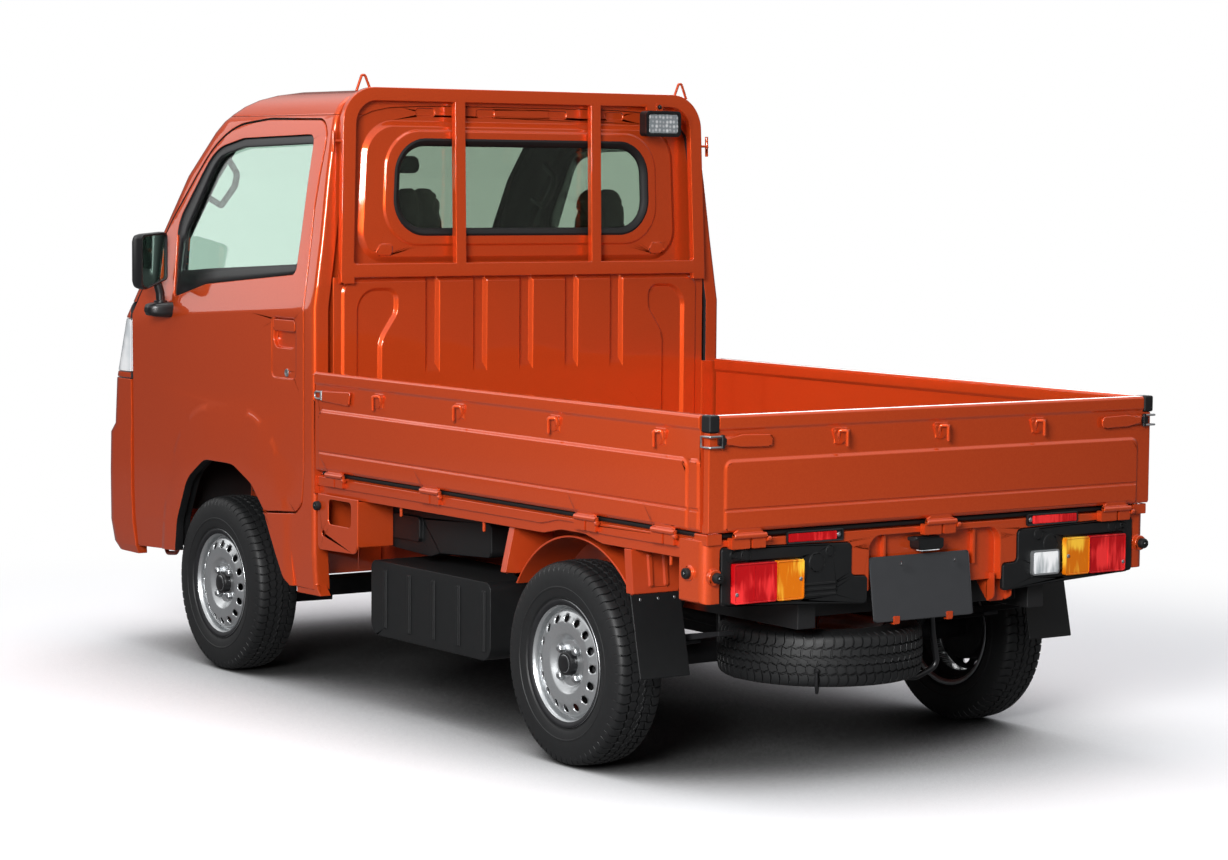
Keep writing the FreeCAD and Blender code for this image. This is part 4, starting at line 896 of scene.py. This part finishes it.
def hinge_leaves(axis, places, spans, top, low, high, pin):
    """Body leaves along one edge of the bed, in two spans; pin is its place past each, height and depth."""
    leaves = Piece()
    for place in places:
        for start, end in spans:
            leaves.slab(axis, box_outline(place + start, 628, place + end, top, 3), low, high, 1.2)
        leaves.turned(PLANES[axis](place + pin[0], *pin[1:]), PLANES[axis](1, 0, 0), HINGE_PIN, 16)
    return leaves


def make_gate_hinges():
    """Body leaves of the gate hinges, the bed's rear corners, and black rubber strips in the gaps along its sills,
    which stand in for the shade in those gaps.
    """
    for side, hand in SIDES:
        leaves = hinge_leaves("x", (742, 1266, 2023, 2362), ((-54, -3), (3, 46)), 657, 712, 735.5, (47, 652, 736))
        leaves.slab("y", box_outline(686, 640, 731, 667, 3), 2486, 2539, 1)
        leaves.on_side(hand).save(f"side_hinge_leaves_{side}", paint)
    leaves = hinge_leaves("y", (-611, 0, 611), ((-52, -10), (-4, 54)), 656, 2532, 2550, (-64, 650, 2550))
    leaves.save("tail_hinge_leaves", paint)
    # Painted shade: black strips fill the gaps along the sills, where they are dark.
    strip = Piece().tube([(-684, 2523, 661), (684, 2523, 661)], 7.4, sides=12)
    for side, hand in SIDES:
        strip.tube([(hand * 717, 652, 662.5), (hand * 717, 2500, 662.5)], 6.2, sides=12)
    strip.save("sill_gap_shade_strips", rubber)


def hook_plates(axis, places, corners, rivets, low, high):
    """Pressed plates that hold the rope hooks along one gate, each with two spot rivets."""
    plates = Piece()
    for place in places:
        plates.slab(axis, [(place + along, height, 6) for along, height in corners], low, high)
        for along in rivets:
            plates.turned(PLANES[axis](place + along, 903, high - 0.4), PLANES[axis](0, 0, 1), RIVET, 16)
    return plates


def make_hook_plates():
    """Hook plates of the three gates."""
    for side, hand in SIDES:
        plates = hook_plates("x", (989, 1416, 1879, 2346), ((-30, 912), (30, 912), (24, 890), (2, 872), (-16, 872)),
                             (-21, 22), 731, 736.4)
        plates.on_side(hand).save(f"side_hook_plates_{side}", paint, f"side_gate_{side}")
    plates = hook_plates("y", (-328, 0, 328), ((-24, 890), (-2, 872), (16, 872), (30, 912), (-30, 912)),
                         (-22, 21), 2545, 2550.4)
    plates.save("tail_hook_plates", paint, "tailgate")


def make_wheel_trim():
    """Hub caps with a stepped crown, wheel nuts and rubber valve stems, on the four road wheels."""
    for wheel, hand, y in WHEELS:
        out = (hand, 0, 0)
        low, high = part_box(f"rim_{wheel}")
        face = max(abs(low[0]), abs(high[0])) / MM
        valve = Piece().tube([(hand * (face - 40), y + 96, WHEEL_HEIGHT + 96),
                              (hand * (face - 16), y + 104, WHEEL_HEIGHT + 104)], 4.2)
        valve.save(f"valve_stem_{wheel}", rubber, f"wheel_{wheel}")
        cap = Piece().turned((hand * 690, y, WHEEL_HEIGHT), out, HUB_CAP)
        cap.save(f"hub_cap_{wheel}", satin_black, f"wheel_{wheel}")
        nuts = Piece()
        for quarter in range(4):
            angle = math.radians(45 + 90 * quarter)
            centre = (hand * 691, y + 50 * math.cos(angle), WHEEL_HEIGHT + 50 * math.sin(angle))
            nuts.turned(centre, out, [(0, 13.6), (3.4, 13.6), (4.4, 12.2)], 20)
            nuts.turned(centre, out, [(3, 11.9), (16, 11.9), (18, 10.4), (20.6, 7), (21.4, 3)], 6)
        nuts.save(f"wheel_nuts_{wheel}", zinc_steel, f"wheel_{wheel}")


# ---- cab trim ----
def make_wipers():
    """Two wipers parked low on the windscreen: pivot, cranked arm, bridge and rubber blade."""
    screen = surface_of("windscreen", "cab_side_left", "cab_side_right", "front_panel")

    def on_glass(x, z, lift):
        hit = screen.ray_cast(Vector((x * MM, -4.0, z * MM)), Vector(BACK))[0]
        return Vector((x, (hit.y - AXLE_Y) / MM - lift * 0.8, z + lift * 0.6))

    arms, blades = Piece(), Piece()
    for start, tip, low in ((430, -20, 1148), (-120, -560, 1148)):
        root = on_glass(start, 1112, 8)
        middle = on_glass(start * 0.45 + tip * 0.55, low + 16, 16)
        arms.turned(root, (0, -0.7, 0.7), [(-16, 13), (0, 13), (5, 10), (6, 3)], 20)
        arms.tube([root, root.lerp(middle, 0.25) + Vector((0, -6, 6)), middle], 5, sides=10)
        # Bridge, then rubber edge: how far it stops short of the ends, its height, radius and sides.
        for short, lift, radius, sides in ((40, 9, 4.5, 10), (30, 3, 3.2, 8)):
            span = start - tip - 2 * short - 40
            blades.tube([on_glass(tip + short + span * k / 8, low + 10 * math.sin(math.pi * k / 8), lift)
                         for k in range(9)], radius, sides=sides)
    arms.save("wiper_arms", satin_black)
    blades.save("wiper_blades", rubber)


def make_cab_grips():
    """Grab handles inside the windscreen pillars, and the rear-view mirror."""
    grips = Piece()
    for side, hand in SIDES:
        route = [(585, -172, 1562), (588, -118, 1524), (590, -128, 1486), (600, -200, 1424), (604, -270, 1446)]
        grips.tube([(hand * x, y, z) for x, y, z in route], 10, 14)
    grips.save("cab_grab_handles", moulded_black)
    mirror = Piece().slab("y", [(-105, 1530, 24), (105, 1530, 24), (98, 1586, 24), (-98, 1586, 24)], -190, -172, 3)
    mirror.tube([(0, -182, 1580), (0, -176, 1640)], 7)
    mirror.save("rear_view_mirror_housing", moulded_black)
    glass = Piece().slab("y", [(-100, 1534, 20), (100, 1534, 20), (94, 1582, 20), (-94, 1582, 20)], -172, -170, 0.6)
    glass.save("rear_view_mirror_glass", mirror_glass)


# ---- seats ----
SEAT_MIDDLE = 335.0
PAD_GRAIN = 0.006
STUFFING_PRESSURE = 4.0
STUFFING_FRAMES = 20


def bake(pad):
    """Makes a pad's modified shape its own mesh."""
    shape = bpy.data.meshes.new_from_object(pad.evaluated_get(bpy.context.evaluated_depsgraph_get()))
    pad.modifiers.clear()
    pad.data = shape


def inflate(piece, name, travel):
    """Swells a closed form like a stuffed pad and returns its mesh; travel caps each point's move, in metres."""
    mesh = bpy.data.meshes.new(name)
    piece.mesh.to_mesh(mesh)
    piece.mesh.free()
    pad = link_object(name, mesh)
    remesh = pad.modifiers.new("even_mesh", "REMESH")
    remesh.mode = "VOXEL"
    remesh.voxel_size = PAD_GRAIN
    bake(pad)
    rest = [vert.co.copy() for vert in pad.data.vertices]
    cloth = pad.modifiers.new("stuffing", "CLOTH")
    cloth.settings.use_pressure = True
    cloth.settings.uniform_pressure_force = STUFFING_PRESSURE
    cloth.settings.effector_weights.gravity = 0.0
    cloth.point_cache.frame_start = 1
    cloth.point_cache.frame_end = STUFFING_FRAMES
    scene = bpy.context.scene
    for step in range(1, STUFFING_FRAMES + 1):
        scene.frame_set(step)
    bake(pad)
    for vert, start in zip(pad.data.vertices, rest):
        move = vert.co - start
        if move.length > travel:
            vert.co = start + move * (travel / move.length)
    scene.frame_set(1)
    result = pad.data
    bpy.data.objects.remove(pad)
    return result


def sew(mesh, channels, half_width, depth):
    """Presses sewn channels into a pad; each channel is a function giving a point's distance from it."""
    normals = [vert.normal.copy() for vert in mesh.vertices]
    for vert, normal in zip(mesh.vertices, normals):
        for distance in channels:
            reach = abs(distance(vert.co)) / half_width
            if reach < 3:
                vert.co -= normal * depth * math.exp(-reach * reach)


def make_seats():
    """Two seats, each a stuffed cushion, backrest and headrest with sewn channels and steel posts."""
    across = lambda offset: lambda place: place.x / MM - SEAT_MIDDLE - offset
    along = lambda y: lambda place: (place.y - AXLE_Y) / MM - y
    level = lambda height: lambda place: place.z / MM - height
    cushion = Piece().slab("x", [(30, 700, 26), (478, 700, 26), (478, 756, 30), (52, 784, 40)], 117, 553, 14)
    back = Piece().slab("x", [(418, 826, 20), (478, 818, 20), (536, 1258, 34), (480, 1262, 34)], 127, 543, 14)
    head = Piece().slab("y", [(232, 1326, 34), (438, 1326, 34), (424, 1492, 62), (246, 1492, 62)], 500, 536, 13)
    # Form, sewn channels, and how full it is, from slack to tight.
    pads = {
        "cushion": (cushion, [across(-140), across(140), along(150)], 0.6),
        "backrest": (back, [across(-130), across(130), level(1130)], 0.6),
        "headrest": (head, [across(0)], 0.7),
    }
    for part, (form, channels, fill) in pads.items():
        mesh = inflate(form, f"seat_{part}", 0.022)
        sew(mesh, channels, 7.0, 0.006)
        for side, hand in SIDES:
            skin = mesh if hand > 0 else mesh.copy()
            if hand < 0:
                skin.transform(ACROSS)
                skin.flip_normals()
            skin.materials.clear()
            skin.materials.append(seat_cloth)
            skin.polygons.foreach_set("use_smooth", [True] * len(skin.polygons))
            pad = link_object(f"seat_{part}_{side}", skin)
            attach(pad, "body")
            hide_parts(f"seat_{side}")
    posts = Piece()
    for side, hand in SIDES:
        for x in (hand * (SEAT_MIDDLE - 50), hand * (SEAT_MIDDLE + 50)):
            posts.tube([(x, 522, 1268), (x, 516, 1336)], 6)
    posts.save("headrest_posts", zinc_steel)


# ---- studio ----
WHITE = (1, 1, 1, 1)
FLOOR_HALF = 60.0


def either(tree, low, high, share):
    """Mixes two shaders by a share from 0 to 1."""
    return add(tree, "MixShader", {0: share, 1: low.outputs[0], 2: high.outputs[0]})


def seen_straight(tree, path):
    """1 for rays from the lens, also through glass, and 0 for light thrown back."""
    return add(tree, "Math", {0: path.outputs["Is Camera Ray"], 1: path.outputs["Is Transmission Ray"]},
               operation="MAXIMUM").outputs[0]


def make_world():
    """Seamless white to the lens and through glass; to the paint, a bright ceiling over dim walls."""
    world = bpy.data.worlds.new("studio")
    world.use_nodes = True
    tree = world.node_tree
    tree.nodes.clear()
    height = add(tree, "SeparateXYZ", {0: add(tree, "TexCoord").outputs["Generated"]}).outputs["Z"]
    ceiling = ease(tree, height, 0.05, 0.75, 0.10, 0.55)
    shine = ease(tree, height, 0.1, 0.6, 0.12, 1.0)
    path = add(tree, "LightPath")
    glow = add(tree, "Background", {"Color": linear("#F4F7FF"), "Strength": ceiling})
    gloss = add(tree, "Background", {"Color": WHITE, "Strength": shine})
    white = add(tree, "Background", {"Color": WHITE, "Strength": 1.0})
    reflected = either(tree, glow, gloss, path.outputs["Is Glossy Ray"])
    add(tree, "OutputWorld", {"Surface": either(tree, reflected, white, seen_straight(tree, path)).outputs[0]})
    return world


def make_floor():
    """Sheet of seamless paper: white to the lens far off, and near the truck it keeps the shadow, deepened by painted
    shade from ambient occlusion.
    """
    material = bpy.data.materials.new("seamless_paper")
    material.use_nodes = True
    tree = material.node_tree
    tree.nodes.clear()
    reach = add(tree, "VectorMath", {0: object_place(tree)}, operation="LENGTH")
    far = ease(tree, reach.outputs["Value"], 1.9, 3.9)
    # Painted shade: the paper's colour darkens where the truck shuts out the open sky.
    open_sky = add(tree, "AmbientOcclusion", {"Distance": 1.6}, samples=12)
    shade = ease(tree, open_sky.outputs["AO"], 0.08, 0.85, 0.03, 0.96)
    grey = add(tree, "CombineColor", {0: shade, 1: shade, 2: shade})
    paper = add(tree, "BsdfDiffuse", {"Color": grey.outputs[0]})
    dim = add(tree, "BsdfDiffuse", {"Color": (0.2, 0.2, 0.2, 1)})
    white = add(tree, "Emission", {"Color": WHITE, "Strength": 1.0})
    to_lens = either(tree, paper, white, far)
    sheet = either(tree, dim, to_lens, seen_straight(tree, add(tree, "LightPath")))
    under = add(tree, "NewGeometry").outputs["Backfacing"]
    add(tree, "OutputMaterial", {"Surface": either(tree, sheet, add(tree, "BsdfTransparent"), under).outputs[0]})
    mesh = bpy.data.meshes.new("floor")
    corners = [(a * FLOOR_HALF, b * FLOOR_HALF, 0) for a, b in ((-1, -1), (1, -1), (1, 1), (-1, 1))]
    mesh.from_pydata(corners, [], [(0, 1, 2, 3)])
    mesh.materials.append(material)
    floor = link_object("floor", mesh)


LAMPS = [
    # name, place, size, power, target
    ("overhead_soft_box", (0.2, -0.4, 5.4), 4.0, 115.0, (0.0, 0.2, 0.6)),
    ("rear_left_soft_box", (5.9, 5.4, 3.0), 2.4, 760.0, (0.3, 0.3, 0.7)),
    ("shoulder_strip", (4.6, -6.0, 2.9), 3.0, 45.0, (0.6, -1.0, 1.1)),
    ("front_fill", (-5.5, -5.0, 3.0), 3.0, 120.0, (0.0, -0.6, 0.8)),
]


def light_studio():
    """White surroundings, paper floor and soft lamps."""
    scene = bpy.context.scene
    scene.view_settings.view_transform = "Standard"
    scene.world = make_world()
    make_floor()
    for name, place, size, power, target in LAMPS:
        data = bpy.data.lights.new(name, "AREA")
        data.size = size
        data.energy = power
        light = link_object(name, data)
        aim = (Vector(target) - Vector(place)).to_track_quat("-Z", "Y")
        light.matrix_world = Matrix.Translation(place) @ aim.to_matrix().to_4x4()


place_camera()
dress_nodes()
make_tyres()
make_seals()
make_window_garnish()
make_tail_lamps()
make_reflectors()
make_plate_fittings()
make_stops()
make_latches()
make_spare_carrier()
make_door_keys()
make_tie_hooks()
make_flap_fixings()
make_work_lamp_lens()
make_door_mirrors()
make_gate_hinges()
make_hook_plates()
make_wheel_trim()
make_wipers()
make_cab_grips()
make_seats()
light_studio()
